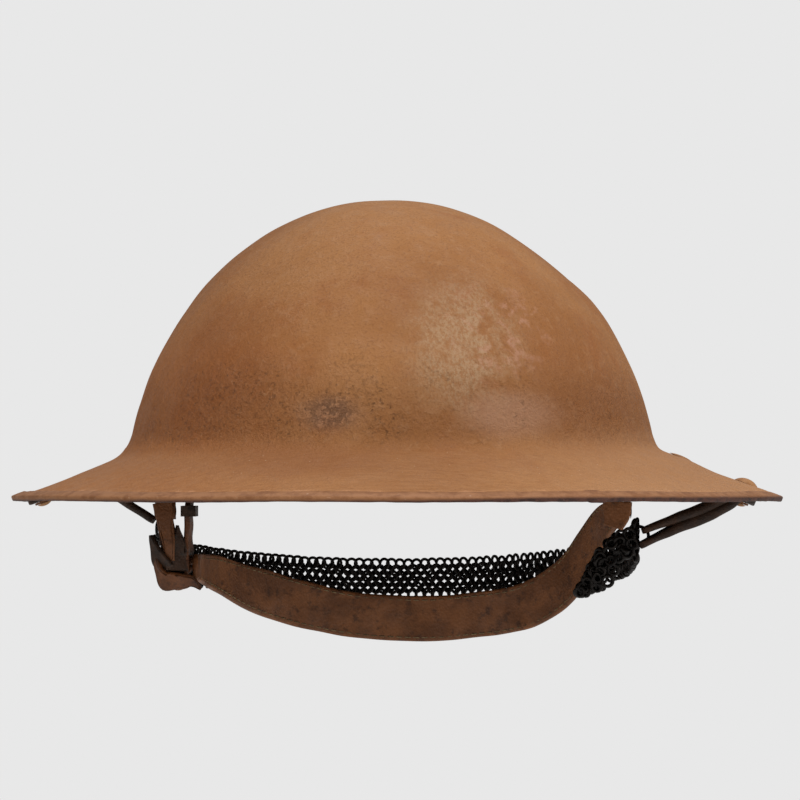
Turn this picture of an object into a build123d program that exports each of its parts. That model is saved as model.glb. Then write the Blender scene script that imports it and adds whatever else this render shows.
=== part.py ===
from build123d import *
import os
from math import atan2, cos, degrees, hypot, pi, radians, sin, sqrt

# A soup-bowl steel helmet. Millimetres, +Z up, +X to the wearer's side, +Y to the face side.
# The origin is the middle of the rim's plane.

# Steel shell, measured on the outside of the sheet
brim_half_width = 144.6
brim_half_length = 152.1
bowl_half_width = 98.2
bowl_half_length = 114.2
crown_height = 113.2
bowl_foot_height = 26.0
brim_edge_height = 1.9
sheet = 1.0
corner_reach = 8.8
corner_drop = 9.2
corner_run = 4.5
brim_run_share = 0.319
brim_steeper_start = 2.88
brim_flatter_edge = 1.12
corner_lead_share = 0.19
bowl_upper_shares = [(0.3244, 1.0), (0.5431, 0.8520), (0.7021, 0.6554)]
bowl_lower_shares = [(0.7021, 0.6554), (0.7911, 0.5455), (0.9500, 0.2923), (1.0, 0.0)]

# Rim binding, a folded strip over the sheet's edge
binding = 0.45
binding_depth = 4.8
binding_gap = 0.15
lap_length = 5.6
lap_place_x = 70.0
lap_sheet = 0.6

# Crown rivet, its washer and the felt pad
crown_rivet_r = 2.4
crown_head_r = 7.0
crown_head = 0.7
crown_washer_r = 9.0
crown_washer = 1.0
crown_tail_r = 4.6
crown_tail = 1.6
felt_r = 34.0
felt = 5.0

# Liner
band_low = 20.0
band_high = 50.0
band = 2.6
spacer_r = 5.4
spacer_bore_r = 3.2
spacer_length = 24.0
spacer_count = 12
cap_sheet = 1.2
net_cord = 2.0
net_foot = 46.5
net_top = 90.0
net_mouth_r = 22.0
net_shares = [(0.52, 1.0), (0.87, 0.56)]
band_low_share = 0.2
draw_cord = 3.0

# Chin strap hangers
hanger_inset = 12.6
pivot_height = 11.0
pivot_r = 1.6
pivot_head_r = 3.0
pivot_head = 0.9
bale_wire = 2.4
bale_half_bar = 13.5
bale_half_top = 3.0
bale_drop = 9.5
bale_corner_r = 2.6
bracket_sheet = 1.5
bracket_width = 12.0
bracket_top = 15.6
ear_below = 4.2
ear_reach = 3.2
bale_rivet_share = 0.222
bale_rivet_r = 2.0
bale_rivet_head_r = 5.0
bale_rivet_head = 1.1
bale_tail_r = 3.4
bale_tail = 1.2

# Leather chin strap
leather = 2.1
strap_width = 18.0
tab_length = 8.0
tab_neck = 5.4
tab_rivet_r = 1.3
tab_rivet_head_r = 2.8
tab_rivet_head = 0.45
tab_rivet_drop = 5.0
strap_reach = 84.0
strap_front_drop = 43.0
strap_tongue = 6.0
strap_end_width = 10.5
strap_end_height = -24.6
loop_spread = 9.1
loop_low = 31.5
loop_tail = 0.5
end_rivet_height = -22.2

# Keeper that slides on the strap's turned-up tail
keeper_height = 4.0
keeper_wall = 1.4
keeper_middle = -3.4

# Brim straps that carry the mail
brim_strap_width = 17.0
brim_leather = 2.7
brim_rivet_share = 0.7435
brim_rivet_r = 1.6
brim_rivet_head_r = 4.6
brim_rivet_head = 1.9
brim_tail_r = 2.8
brim_tail = 1.0
brim_washer_r = 3.5
brim_washer = 0.7
strap_end_reach = 5.6
strap_tip_inset = 5.0
leaf_gap = 2.2
left_leaf_lift = 1.6
right_knee = (0.65, -0.09)
left_knee = (0.35, 0.09)

# Link rings and the mail strip
link_height = -12.8
link_ring_r = 4.8
link_wire = 1.5
link_edge = 2.9
mail_beside = 2.6
mail_front = 105.0
mail_bend_y = 22.0
mail_behind = 6.6
mail_sheet = 1.5
mail_height = 17.0
mail_above = 6.8
mail_hole_r = 1.3
mail_eye_r = 5.5
mail_rows = 4
mail_columns = 70
mail_plain_end = 8.0
mail_slope = 0.16

# Clearances
seat_gap = 0.25
soft_gap = 0.3
run_gap = 0.06
hole_gap = 0.1
head_lift = 0.22
flange_slack = 0.9
overrun = 6.0

ROOT_HALF = sqrt(0.5)


def brim_place(share):
    """A place between the bowl's foot (0) and the brim's edge (1)."""
    return bowl_half_width + share * (brim_half_width - bowl_half_width)


corner_x = bowl_half_width + corner_reach
corner_z = bowl_foot_height - corner_drop
brim_slope = degrees(atan2(corner_z - brim_edge_height, brim_half_width - corner_x))
brim_slope_start = brim_slope + brim_steeper_start
brim_slope_edge = brim_slope - brim_flatter_edge
brim_run = brim_run_share * (brim_half_width - corner_x)
hanger_x = bowl_half_width - hanger_inset
loop_inner_x = hanger_x - loop_spread
bale_rivet_x = brim_place(bale_rivet_share)
brim_rivet_x = brim_place(brim_rivet_share)
strap_tip_x = bowl_half_width - strap_tip_inset
mail_half_span = strap_tip_x - mail_beside
os.makedirs("parts", exist_ok=True)


def oval_skin(span):
    """Four quarter faces swept round the oval from one Bezier span of (half width, half length, z)."""
    faces = []
    for sx, sy in ((1, 1), (-1, 1), (-1, -1), (1, -1)):
        rows = [
            [(sx * a, 0, z) for a, b, z in span],
            [(sx * a, sy * b, z) for a, b, z in span],
            [(0, sy * b, z) for a, b, z in span],
        ]
        weights = [[1.0] * len(span), [ROOT_HALF] * len(span), [1.0] * len(span)]
        faces.append(Face.make_bezier_surface(rows, weights))
    return faces


def oval_solid(spans):
    """A closed ring of Bezier spans, carried round the oval and sewn to one solid."""
    faces = []
    for span in spans:
        faces += oval_skin(span)
    body = Solid(Shell(faces))
    return body if body.volume > 0 else Solid(body.wrapped.Reversed())


def ring_of_lines(points):
    """A solid ring whose profile is a closed polygon."""
    return oval_solid([[points[i - 1], points[i]] for i in range(len(points))])


def brim_length_at(half_width):
    share = (half_width - bowl_half_width) / (brim_half_width - bowl_half_width)
    return bowl_half_length + share * (brim_half_length - bowl_half_length)


def bowl_point(share):
    rise = crown_height - bowl_foot_height
    return (bowl_half_width * share[0], bowl_half_length * share[0], bowl_foot_height + rise * share[1])


def brim_point(half_width, z):
    return (half_width, brim_length_at(half_width), z)


def outer_spans():
    """The sheet's upper side, from the crown hole to the edge of the brim."""
    hole = crown_rivet_r + hole_gap
    upper = [(hole, hole, crown_height)] + [bowl_point(s) for s in bowl_upper_shares]
    lower = [bowl_point(s) for s in bowl_lower_shares]
    foot, last = lower[3], lower[2]
    lead = tuple(f + corner_lead_share * (f - q) for f, q in zip(foot, last))
    start, edge = radians(brim_slope_start), radians(brim_slope_edge)
    before = brim_point(corner_x - corner_run * cos(start), corner_z + corner_run * sin(start))
    after = brim_point(corner_x + brim_run * cos(start), corner_z - brim_run * sin(start))
    corner = [foot, lead, before, brim_point(corner_x, corner_z)]
    inward = brim_point(brim_half_width - brim_run * cos(edge), brim_edge_height + brim_run * sin(edge))
    brim = [corner[3], after, inward, brim_point(brim_half_width, brim_edge_height)]
    return [upper, lower, corner, brim]


def normal_at(points, i, axis):
    """Outward unit normal of the control polygon at point i, in the plane of one half axis and z."""
    before, after = points[max(i - 1, 0)], points[min(i + 1, len(points) - 1)]
    run, fall = after[axis] - before[axis], after[2] - before[2]
    size = hypot(run, fall)
    return (-fall / size, run / size)


def offset_spans(spans, depth):
    """The same spans moved inwards, square to the profile."""
    chain = spans[0] + [p for span in spans[1:] for p in span[1:]]
    moved = []
    for i, (a, b, z) in enumerate(chain):
        across, up = normal_at(chain, i, 0)
        along = normal_at(chain, i, 1)[0]
        moved.append((a - depth * across, b - depth * along, z - depth * up))
    moved[0] = (chain[0][0], chain[0][1], moved[0][2])
    return [moved[3 * i:3 * i + 4] for i in range(len(spans))]


def bezier(span, t):
    s = 1 - t
    shares = (s ** 3, 3 * s * s * t, 3 * s * t * t, t ** 3)
    return tuple(sum(w * p[k] for w, p in zip(shares, span)) for k in range(3))


def at_height(spans, z):
    """The half width and half length of the spans at one height."""
    for span in spans:
        if span[0][2] >= z >= span[-1][2]:
            low, high = 0.0, 1.0
            for _ in range(40):
                middle = (low + high) / 2
                if bezier(span, middle)[2] > z:
                    low = middle
                else:
                    high = middle
            return bezier(span, low)
    raise ValueError("no such height")


def at_width(spans, x):
    """The profile point and the slope angle of the brim at one half width."""
    for span in spans[2:]:
        if span[0][0] <= x <= span[-1][0]:
            low, high = 0.0, 1.0
            for _ in range(40):
                middle = (low + high) / 2
                if bezier(span, middle)[0] < x:
                    low = middle
                else:
                    high = middle
            here, there = bezier(span, low), bezier(span, min(low + 0.01, 1.0))
            return here, atan2(here[2] - there[2], there[0] - here[0])
    raise ValueError("no such width")


upper_side = outer_spans()
under_side = offset_spans(upper_side, sheet)


def slab(points, width, middle=0.0):
    """A polygon in the XZ plane, given a width along Y."""
    face = make_face(Polyline([(x, 0, z) for x, z in points], close=True))
    return Pos(0, middle, 0) * extrude(face, amount=width / 2, both=True)


def rod(radius, start, end):
    """A round bar between two points."""
    line = Line(start, end)
    return extrude(Plane(start, z_dir=(line % 0)) * Circle(radius), amount=line.length)


def dome(radius, height):
    """A domed rivet head that sits on the plane z = 0."""
    arc = ThreePointArc((0, 0, height), (radius * 0.62, 0, height * 0.68), (radius, 0, 0))
    face = make_face([arc, Line((radius, 0, 0), (0, 0, 0)), Line((0, 0, 0), (0, 0, height))])
    return revolve(face, Axis.Z)


def brim_frame(x):
    """A plane on the brim's upper side at one half width: its z axis is the sheet's normal."""
    point, slope = at_width(upper_side, x)
    return Plane((x, 0, point[2]), x_dir=(cos(slope), 0, -sin(slope)), z_dir=(sin(slope), 0, cos(slope)))


def under_height(x):
    return at_width(under_side, x)[0][2]


def brim_rivet_solid(x, shank_r, head_r, head, grip, tail_r, tail):
    """A rivet through the brim: domed head above, shank through the grip, upset tail below."""
    local = Pos(0, 0, head_lift) * dome(head_r, head)
    local += Pos(0, 0, head_lift) * Cylinder(shank_r, grip + head_lift, align=(Align.CENTER, Align.CENTER, Align.MAX))
    local += Pos(0, 0, -grip) * Rot(180, 0, 0) * dome(tail_r, tail)
    return brim_frame(x) * local


def rivet_hole(x, shank_r):
    return brim_frame(x) * Cylinder(shank_r + hole_gap, 2 * overrun)


def flip(shape):
    return mirror(shape, Plane.YZ)


def shell():
    hole = upper_side[0][0]
    under_hole = under_side[0][0]
    edge, under_edge = upper_side[-1][-1], under_side[-1][-1]
    spans = upper_side + [[edge, under_edge]] + [list(reversed(s)) for s in reversed(under_side)]
    body = oval_solid(spans + [[under_hole, hole]])
    for x, shank_r in ((bale_rivet_x, bale_rivet_r), (brim_rivet_x, brim_rivet_r)):
        cutter = rivet_hole(x, shank_r)
        body = body - cutter - flip(cutter)
    return body


def binding_profile(inside, outside):
    """Closed profile of a strip folded over the brim's edge, between two distances from the sheet."""
    edge, under_edge = upper_side[-1][-1], under_side[-1][-1]
    slope = radians(brim_slope_edge)
    out, up = (cos(slope), -sin(slope)), (sin(slope), cos(slope))
    squeeze = (brim_half_length - bowl_half_length) / (brim_half_width - bowl_half_width)
    long_slope = atan2(sin(slope), squeeze * cos(slope))

    def place(base, along, above):
        x = base[0] + along * out[0] + above * up[0]
        rise = along * out[1] + above * up[1]
        y = base[1] + (above - rise * cos(long_slope)) / sin(long_slope)
        return (x, y, base[2] + rise)

    near = binding_depth
    return [
        place(edge, -near, outside), place(edge, 0, outside), place(edge, outside, 0),
        place(under_edge, outside, 0), place(under_edge, 0, -outside), place(under_edge, -near, -outside),
        place(under_edge, -near, -inside), place(under_edge, inside, -inside),
        place(edge, inside, inside), place(edge, -near, inside),
    ]


def rim_binding():
    outside = binding_gap + binding
    strip = ring_of_lines(binding_profile(binding_gap, outside))
    lap = ring_of_lines(binding_profile(outside - binding / 2, outside + lap_sheet))
    window = Pos(lap_place_x, -brim_half_length, 0) * Box(lap_length, brim_half_length, crown_height)
    return strip + (lap & window)


def at_share(span, place, axis, falling):
    """How far along a span it reaches one place on an axis."""
    low, high = 0.0, 1.0
    for _ in range(40):
        middle = (low + high) / 2
        value = bezier(span, middle)[axis]
        if (value > place) == falling:
            low = middle
        else:
            high = middle
    return low


def split_span(span, t):
    """The first part of a cubic span, up to t."""
    def mix(p, q):
        return tuple(u + (v - u) * t for u, v in zip(p, q))
    ab, bc, cd = mix(span[0], span[1]), mix(span[1], span[2]), mix(span[2], span[3])
    abc, bcd = mix(ab, bc), mix(bc, cd)
    return [span[0], ab, abc, mix(abc, bcd)]


def lens(outer, inner):
    """A thin oval dome between two chains of spans, open at the middle."""
    back = [list(reversed(span)) for span in reversed(inner)]
    return oval_solid(outer + [[outer[-1][-1], inner[-1][-1]]] + back + [[inner[0][0], outer[0][0]]])


pad_depth = sheet + soft_gap + crown_washer + hole_gap
cap_top = crown_height - pad_depth - felt - soft_gap
grip_low = cap_top - cap_sheet - 2 * soft_gap - crown_washer - hole_gap


def crown_parts():
    head = Pos(0, 0, crown_height + head_lift) * dome(crown_head_r, crown_head)
    shank_length = crown_height + head_lift - grip_low
    shank = Pos(0, 0, grip_low) * Cylinder(crown_rivet_r, shank_length, align=(Align.CENTER, Align.CENTER, Align.MIN))
    tail = Pos(0, 0, grip_low) * Rot(180, 0, 0) * dome(crown_tail_r, crown_tail)
    washer = Cylinder(crown_washer_r, crown_washer) - Cylinder(crown_rivet_r + hole_gap, overrun)
    top_z = crown_height - sheet - soft_gap - crown_washer / 2
    low_z = grip_low + hole_gap + crown_washer / 2
    return {"crown_rivet": head + shank + tail, "crown_washer": Pos(0, 0, top_z) * washer,
            "liner_washer": Pos(0, 0, low_z) * washer}


def crown_felt_pad():
    """A felt pad that follows the crown, between the top washer and the liner cap."""
    outer = offset_spans(upper_side[:2], pad_depth)[0]
    inner = offset_spans(upper_side[:2], pad_depth + felt)[0]
    return lens([split_span(outer, at_share(outer, felt_r, 0, False))],
                [split_span(inner, at_share(inner, felt_r - felt / 2, 0, False))])


def cap_spans(depth, top):
    """A dome parallel to the sheet, flattened at the crown, down to the top of the band."""
    upper, lower = offset_spans(upper_side[:2], depth)
    hole = crown_rivet_r + hole_gap
    upper = [(hole, hole, top), (upper[1][0], upper[1][1], top)] + upper[2:]
    return [upper, split_span(lower, at_share(lower, band_high + soft_gap, 2, True))]


def liner_cap():
    depth = sheet + band_step + (band - cap_sheet) / 2
    return lens(cap_spans(depth, cap_top), cap_spans(depth + cap_sheet, cap_top - cap_sheet))


def liner_net():
    """The head net as a plain dome with an open mouth; its foot is sewn along the inside of the band."""
    low, high = band_ends()
    share = (net_foot - band_low) / (band_high - band_low)
    side = band + soft_gap
    foot = (low[0] + share * (high[0] - low[0]) - side, low[1] + share * (high[1] - low[1]) - side, net_foot)
    rise = net_top - net_foot
    middle = [(foot[0] * out, foot[1] * out, net_foot + rise * up) for out, up in net_shares]
    outer = [[(net_mouth_r, net_mouth_r, net_top)] + middle + [foot]]
    inner = offset_spans(outer, net_cord)
    return lens(outer, inner)


def net_draw_cord():
    ring_r = net_mouth_r - soft_gap - draw_cord / 2
    return Pos(0, 0, net_top - net_cord / 2) * Torus(ring_r, draw_cord / 2)


band_step = 2 * (spacer_r + soft_gap)


def band_points(z):
    """Outer half width and length of the liner band at one height."""
    a, b, _ = at_height(under_side, z)
    wall = at_height(under_side, band_high)[0] - at_height(under_side, band_low)[0]
    lean = hypot(wall, band_high - band_low) / (band_high - band_low)
    return (a - band_step * lean, b - band_step * lean, z)


def band_ends():
    """Outer half width, half length and height of the band's lower and upper edge."""
    low = band_points(band_low + bowl_foot_height * band_low_share)
    return (low[0], low[1], band_low), band_points(band_high)


def liner_band():
    low, high = band_ends()
    inner_low = (low[0] - band, low[1] - band, low[2])
    inner_high = (high[0] - band, high[1] - band, high[2])
    return ring_of_lines([low, high, inner_high, inner_low])


def rubber_spacers():
    """Short rubber tubes standing between the band and the shell's wall."""
    tubes = []
    low_z = bowl_foot_height + soft_gap
    for i in range(spacer_count):
        angle = 2 * pi * (i + 0.5) / spacer_count
        ends = []
        for z in (low_z, low_z + spacer_length):
            a, b, _ = at_height(under_side, z)
            inner = band_points(z)
            a, b = (a + inner[0]) / 2, (b + inner[1]) / 2
            ends.append(Vector(a * cos(angle), b * sin(angle), z))
        direction = (ends[1] - ends[0]).normalized()
        tube = Circle(spacer_r) - Circle(spacer_bore_r)
        tubes.append(extrude(Plane(ends[0], z_dir=direction) * tube, amount=(ends[1] - ends[0]).length))
    return Compound(children=tubes)


def bale_bracket():
    """Riveted under the brim, with an ear bent down beside the bale."""
    inner_x = hanger_x + bale_wire / 2 + hole_gap
    outer_x = bale_rivet_x + bale_rivet_head_r
    slope = (under_height(corner_x) - under_height(outer_x)) / (outer_x - corner_x)
    flange_z = under_height(outer_x) - seat_gap

    def top_at(x):
        return min(flange_z + slope * (outer_x - x), bracket_top)

    bend_x = outer_x - (bracket_top - flange_z) / slope
    low = pivot_height - ear_below
    points = [
        (outer_x, flange_z), (bend_x, bracket_top), (inner_x, bracket_top), (inner_x, low),
        (inner_x + bracket_sheet, low), (inner_x + bracket_sheet, bracket_top - bracket_sheet),
        (bend_x - bracket_sheet * slope, bracket_top - bracket_sheet), (outer_x, flange_z - bracket_sheet),
    ]
    wide_x = inner_x + bracket_sheet + ear_reach
    room = Box(outer_x - wide_x, bracket_width, crown_height, align=(Align.MIN, Align.CENTER, Align.CENTER))
    body = slab(points, 2 * ear_below) + (slab(points, bracket_width) & Pos(wide_x, 0, 0) * room)
    body -= rivet_hole(bale_rivet_x, bale_rivet_r)
    return body - Pos(inner_x, 0, pivot_height) * Rot(0, 90, 0) * Cylinder(pivot_r + hole_gap, overrun)


def pivot_pin():
    """The pin the bale swings on: head inside the bale's eye, tail outside the bracket's ear."""
    head_x = hanger_x - bale_wire / 2 - hole_gap
    tail_x = hanger_x + bale_wire / 2 + 2 * hole_gap + bracket_sheet
    pin = rod(pivot_r, (head_x, 0, pivot_height), (tail_x, 0, pivot_height))
    pin += Pos(head_x, 0, pivot_height) * Rot(0, -90, 0) * dome(pivot_head_r, pivot_head)
    return pin + Pos(tail_x, 0, pivot_height) * Rot(0, 90, 0) * dome(pivot_head_r, pivot_head)


def bale():
    """A wire loop in the YZ plane, wide at its bar, with an eye round the pivot pin."""
    eye_r = pivot_r + run_gap + bale_wire / 2
    top = pivot_height - eye_r
    bar = pivot_height - bale_drop
    corners = [(hanger_x, bale_half_top, top), (hanger_x, bale_half_bar, bar),
               (hanger_x, -bale_half_bar, bar), (hanger_x, -bale_half_top, top)]
    path = FilletPolyline(corners, radius=bale_corner_r, close=True)
    start = path @ 0
    wire = sweep(Plane(start, z_dir=path % 0) * Circle(bale_wire / 2), path=path)
    eye = Pos(hanger_x, 0, pivot_height) * Rot(0, 90, 0) * Torus(eye_r, bale_wire / 2)
    return wire + eye


bale_bar = pivot_height - bale_drop
fold_inside = bale_wire / 2 + soft_gap
fold_outside = fold_inside + leather
under_bar = bale_bar - fold_inside


def fold_profile(low):
    """A strip folded round the bale's bar, seen along Y, with both legs hanging down."""
    outer = ThreePointArc((-fold_outside, 0, bale_bar), (0, 0, bale_bar + fold_outside), (fold_outside, 0, bale_bar))
    inner = ThreePointArc((fold_inside, 0, bale_bar), (0, 0, bale_bar + fold_inside), (-fold_inside, 0, bale_bar))
    right = Polyline([outer @ 1, (fold_outside, 0, low), (fold_inside, 0, low), inner @ 0])
    left = Polyline([inner @ 1, (-fold_inside, 0, low), (-fold_outside, 0, low), outer @ 0])
    return Pos(hanger_x, 0, 0) * make_face([outer, right, inner, left])


def strap_tab():
    """Leather folded round the bale's bar, narrow inside the bale and as wide as the strap below it."""
    low = bale_bar - tab_length
    profile = fold_profile(low)
    below = Box(4 * fold_outside, strap_width, under_bar - low, align=(Align.CENTER, Align.CENTER, Align.MAX))
    wide = extrude(profile, amount=strap_width / 2, both=True) & Pos(hanger_x, 0, under_bar) * below
    tab = extrude(profile, amount=tab_neck, both=True) + wide
    return tab - tab_rivet_hole()


def tab_rivet_z():
    return bale_bar - tab_rivet_drop


def tab_rivet_hole():
    return Pos(hanger_x, 0, tab_rivet_z()) * Rot(0, 90, 0) * Cylinder(tab_rivet_r + hole_gap, 4 * fold_outside)


def cross_rivet(inner, outer, z):
    """A rivet along X with a domed head at each end."""
    pin = rod(tab_rivet_r, (inner, 0, z), (outer, 0, z))
    pin += Pos(outer, 0, z) * Rot(0, 90, 0) * dome(tab_rivet_head_r, tab_rivet_head)
    return pin + Pos(inner, 0, z) * Rot(0, -90, 0) * dome(tab_rivet_head_r, tab_rivet_head)


def tab_rivet():
    reach = fold_outside + hole_gap
    return cross_rivet(hanger_x - reach, hanger_x + reach, tab_rivet_z())


loop_r = (hanger_x - loop_inner_x) / 2
loop_middle_x = (hanger_x + loop_inner_x) / 2
loop_turn_z = loop_r + leather / 2 - loop_low
strap_end_x = loop_inner_x - leather - 2 * soft_gap


def left_strap_loop():
    """The strap's left end: down inside the tab, round a low bend and up again as a free tail."""
    out, near = loop_r + leather / 2, loop_r - leather / 2
    top, tail = under_bar - soft_gap, under_bar + loop_tail
    middle = loop_middle_x
    outer = ThreePointArc((middle - out, 0, loop_turn_z), (middle, 0, loop_turn_z - out), (middle + out, 0, loop_turn_z))
    inner = ThreePointArc((middle + near, 0, loop_turn_z), (middle, 0, loop_turn_z - near),
                          (middle - near, 0, loop_turn_z))
    hidden = Polyline([outer @ 1, (middle + out, 0, top), (middle + near, 0, top), inner @ 0])
    free = Polyline([inner @ 1, (middle - near, 0, tail), (middle - out, 0, tail), outer @ 0])
    strip = extrude(make_face([outer, hidden, inner, free]), amount=strap_width / 2, both=True)
    return flip(strip - tab_rivet_hole() - end_rivet_hole())


def end_rivet_hole():
    middle_x = (loop_inner_x + strap_end_x) / 2
    return Pos(middle_x, 0, end_rivet_height) * Rot(0, 90, 0) * Cylinder(tab_rivet_r + hole_gap, overrun)


def strap_end_rivet():
    side = leather / 2 + hole_gap
    return flip(cross_rivet(strap_end_x - side, loop_inner_x + side, end_rivet_height))


def strap_sections(stations):
    """Strap sections round the face side: (angle from +X, height, lean, width)."""
    span = (hanger_x + strap_end_x) / 2
    centre = (hanger_x - strap_end_x) / 2
    sections = []
    for angle, height, lean, width in stations:
        turn = radians(angle)
        middle = Vector(centre + span * cos(turn), strap_reach * sin(turn), height)
        outward = Vector(cos(turn) / span, sin(turn) / strap_reach, 0).normalized()
        tangent = Vector(-outward.Y, outward.X, 0)
        along = (tangent + Vector(0, 0, -lean)).normalized()
        sections.append((Plane(middle, x_dir=outward, z_dir=along) * Rectangle(leather, width)).face())
    return sections


strap_stations = [
    (12, 0.04, 0.20, 0.62), (22, 0.15, 0.60, 0.90), (30, 0.36, 0.95, 1.0), (40, 0.64, 0.85, 1.0),
    (55, 0.88, 0.35, 1.0), (75, 0.98, 0.10, 1.0), (90, 1.0, 0.0, 1.0), (110, 0.94, -0.18, 1.0),
    (135, 0.75, -0.28, 1.0), (155, 0.58, -0.14, 0.80), (170, 0.51, -0.05, 0.62),
]


def chin_strap():
    """The long strap: from a tongue inside the right tab, round the face side, to the left loop's tail."""
    start = tab_rivet_z()
    drop = strap_front_drop
    end = (start - strap_end_height) / drop
    stations = [(angle, start - share * drop, lean, strap_width * wide)
                for angle, share, lean, wide in strap_stations]
    stations = [(0, start, 0.0, strap_tongue)] + stations + [(180, start - end * drop, 0.0, strap_end_width)]
    body = loft(strap_sections(stations))
    for x, z, width in ((hanger_x, start, strap_tongue), (-strap_end_x, strap_end_height, strap_end_width)):
        body += Pos(x, 0, z) * Box(leather, strap_tongue, width, align=(Align.CENTER, Align.MAX, Align.CENTER))
    return body - tab_rivet_hole() - flip(end_rivet_hole())


def strap_keeper():
    """A flat metal ring that slides on the free tail of the strap."""
    bore = (leather + 2 * soft_gap, strap_width + 2 * soft_gap)
    ring = Box(bore[0] + 2 * keeper_wall, bore[1] + 2 * keeper_wall, keeper_height)
    ring -= Box(bore[0], bore[1], 2 * keeper_height)
    return Pos(-loop_inner_x, 0, keeper_middle) * ring


def leaf(points, thick):
    """A strip of leather in the XZ plane below a line of top points."""
    normals = []
    for (x0, z0), (x1, z1) in zip(points, points[1:]):
        size = hypot(x1 - x0, z1 - z0)
        normals.append(((z1 - z0) / size, -(x1 - x0) / size))
    under = []
    for i, (x, z) in enumerate(points):
        n0, n1 = normals[max(i - 1, 0)], normals[min(i, len(normals) - 1)]
        nx, nz = n0[0] + n1[0], n0[1] + n1[1]
        scale = 2 * thick / (nx * nx + nz * nz)
        under.append((x + nx * scale, z + nz * scale))
    return points + list(reversed(under))


def strap_top_points(tip_height, knee, layers):
    """Top line of a brim strap: from its tip over a knee to the flat part under the brim at the rivet."""
    point, slope = at_width(under_side, brim_rivet_x)

    def beside(reach):
        x = point[0] + cos(slope) * reach - sin(slope) * seat_gap
        return (x, point[2] - sin(slope) * reach - cos(slope) * seat_gap)

    def knee_before(grip):
        along, lift = knee
        run, rise = grip[0] - strap_tip_x, grip[1] - tip_height
        return (strap_tip_x + along * run, tip_height + along * rise + lift * run)

    flat = brim_washer_r + soft_gap
    reach = flat
    for _ in range(12):
        grip = beside(-reach)
        bent = knee_before(grip)
        turn = slope + atan2(grip[1] - bent[1], grip[0] - bent[0])
        reach = flat + layers * brim_leather * sin(turn / 2) / cos(turn / 2)
    return [(strap_tip_x, tip_height), bent, grip, beside(strap_end_reach)]


def rivet_hole_long():
    return brim_frame(brim_rivet_x) * Cylinder(brim_rivet_r + hole_gap, 4 * overrun)


link_x = (strap_tip_x + link_edge + mail_half_span) / 2


def link_torus(clear):
    """A ring in the XZ plane, through the tip of the brim strap and the eye of the mail."""
    return Pos(link_x, 0, link_height) * Rot(90, 0, 0) * Torus(link_ring_r, link_wire / 2 + clear)


def right_brim_strap():
    """One strap doubled at the rivet; its two leaves part towards the tip, where they hold the link ring."""
    top_line = strap_top_points(link_height + brim_leather + leaf_gap / 2, right_knee, 2)
    upper = leaf(top_line, brim_leather)
    middle_line = list(reversed(upper[len(top_line):]))
    lower = leaf([(strap_tip_x, link_height - leaf_gap / 2)] + middle_line[1:], brim_leather)
    body = slab(upper, brim_strap_width) + slab(lower, brim_strap_width)
    return body - rivet_hole_long() - link_torus(hole_gap)


def left_brim_strap():
    top = link_height + left_leaf_lift + brim_leather / 2
    strip = slab(leaf(strap_top_points(top, left_knee, 1), brim_leather), brim_strap_width)
    return flip(strip - rivet_hole_long() - link_torus(hole_gap))


mail_reach = mail_front - mail_bend_y
mail_tilt = degrees(atan2(mail_slope, 1.0))


def mail_top(y):
    return link_height + mail_above - mail_slope * y


def mail_outline(side):
    """The mail's outline in plan, filled, on one face of its sheet."""
    bend = Pos(0, mail_bend_y, 0) * Ellipse(mail_half_span + side, mail_reach + side)
    front = Rectangle(4 * mail_front, 2 * mail_front, align=(Align.CENTER, Align.MIN))
    straight = Rectangle(2 * (mail_half_span + side), mail_bend_y + mail_behind, align=(Align.CENTER, Align.MIN))
    return (bend & Pos(0, mail_bend_y, 0) * front) + Pos(0, -mail_behind, 0) * straight


def mail_band():
    """The plain strip: upright, bent round the face side and falling towards the front."""
    tall = extrude(mail_outline(mail_sheet / 2) - mail_outline(-mail_sheet / 2), amount=crown_height, both=True)
    thick = mail_height * cos(radians(mail_tilt))
    wide = Box(4 * mail_half_span, 4 * mail_front, thick, align=(Align.CENTER, Align.CENTER, Align.MAX))
    return tall & Pos(0, 0, mail_top(0)) * Rot(-mail_tilt, 0, 0) * wide


def mail_stations():
    """Evenly spaced places along the strip in plan: (x, y, outward)."""
    steps = 40 * mail_columns
    turns = [pi * i / steps for i in range(steps + 1)]
    line = [(mail_half_span, mail_plain_end)]
    line += [(mail_half_span * cos(t), mail_bend_y + mail_reach * sin(t)) for t in turns]
    line.append((-mail_half_span, mail_plain_end))
    run = [0.0]
    for (x0, y0), (x1, y1) in zip(line, line[1:]):
        run.append(run[-1] + hypot(x1 - x0, y1 - y0))
    places, k = [], 0
    for i in range(mail_columns):
        want = run[-1] * i / (mail_columns - 1)
        while k < len(run) - 2 and run[k + 1] < want:
            k += 1
        (x0, y0), (x1, y1) = line[k], line[k + 1]
        share = (want - run[k]) / (run[k + 1] - run[k])
        way = Vector(x1 - x0, y1 - y0, 0).normalized()
        places.append((x0 + share * (x1 - x0), y0 + share * (y1 - y0), Vector(way.Y, -way.X, 0)))
    return places


def mail_holes():
    """The see-through holes between the links, square to the strip."""
    holes = []
    row_step = mail_height / mail_rows
    for x, y, outward in mail_stations():
        for row in range(mail_rows):
            z = mail_top(y) - row_step * (row + 0.5)
            start = Vector(x, y, z) - outward * mail_sheet
            holes.append(extrude(Plane(start, z_dir=outward) * Circle(mail_hole_r), amount=2 * mail_sheet))
    return holes


def mail_strip():
    eyes = Pos(0, 0, link_height) * Rot(0, 90, 0) * Cylinder(mail_eye_r, 4 * mail_half_span)
    return mail_band() - eyes - mail_holes()


def brim_rivet(layers):
    grip = sheet + seat_gap + layers * brim_leather + brim_washer + 3 * hole_gap
    return brim_rivet_solid(brim_rivet_x, brim_rivet_r, brim_rivet_head_r, brim_rivet_head, grip,
                            brim_tail_r, brim_tail)


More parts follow.
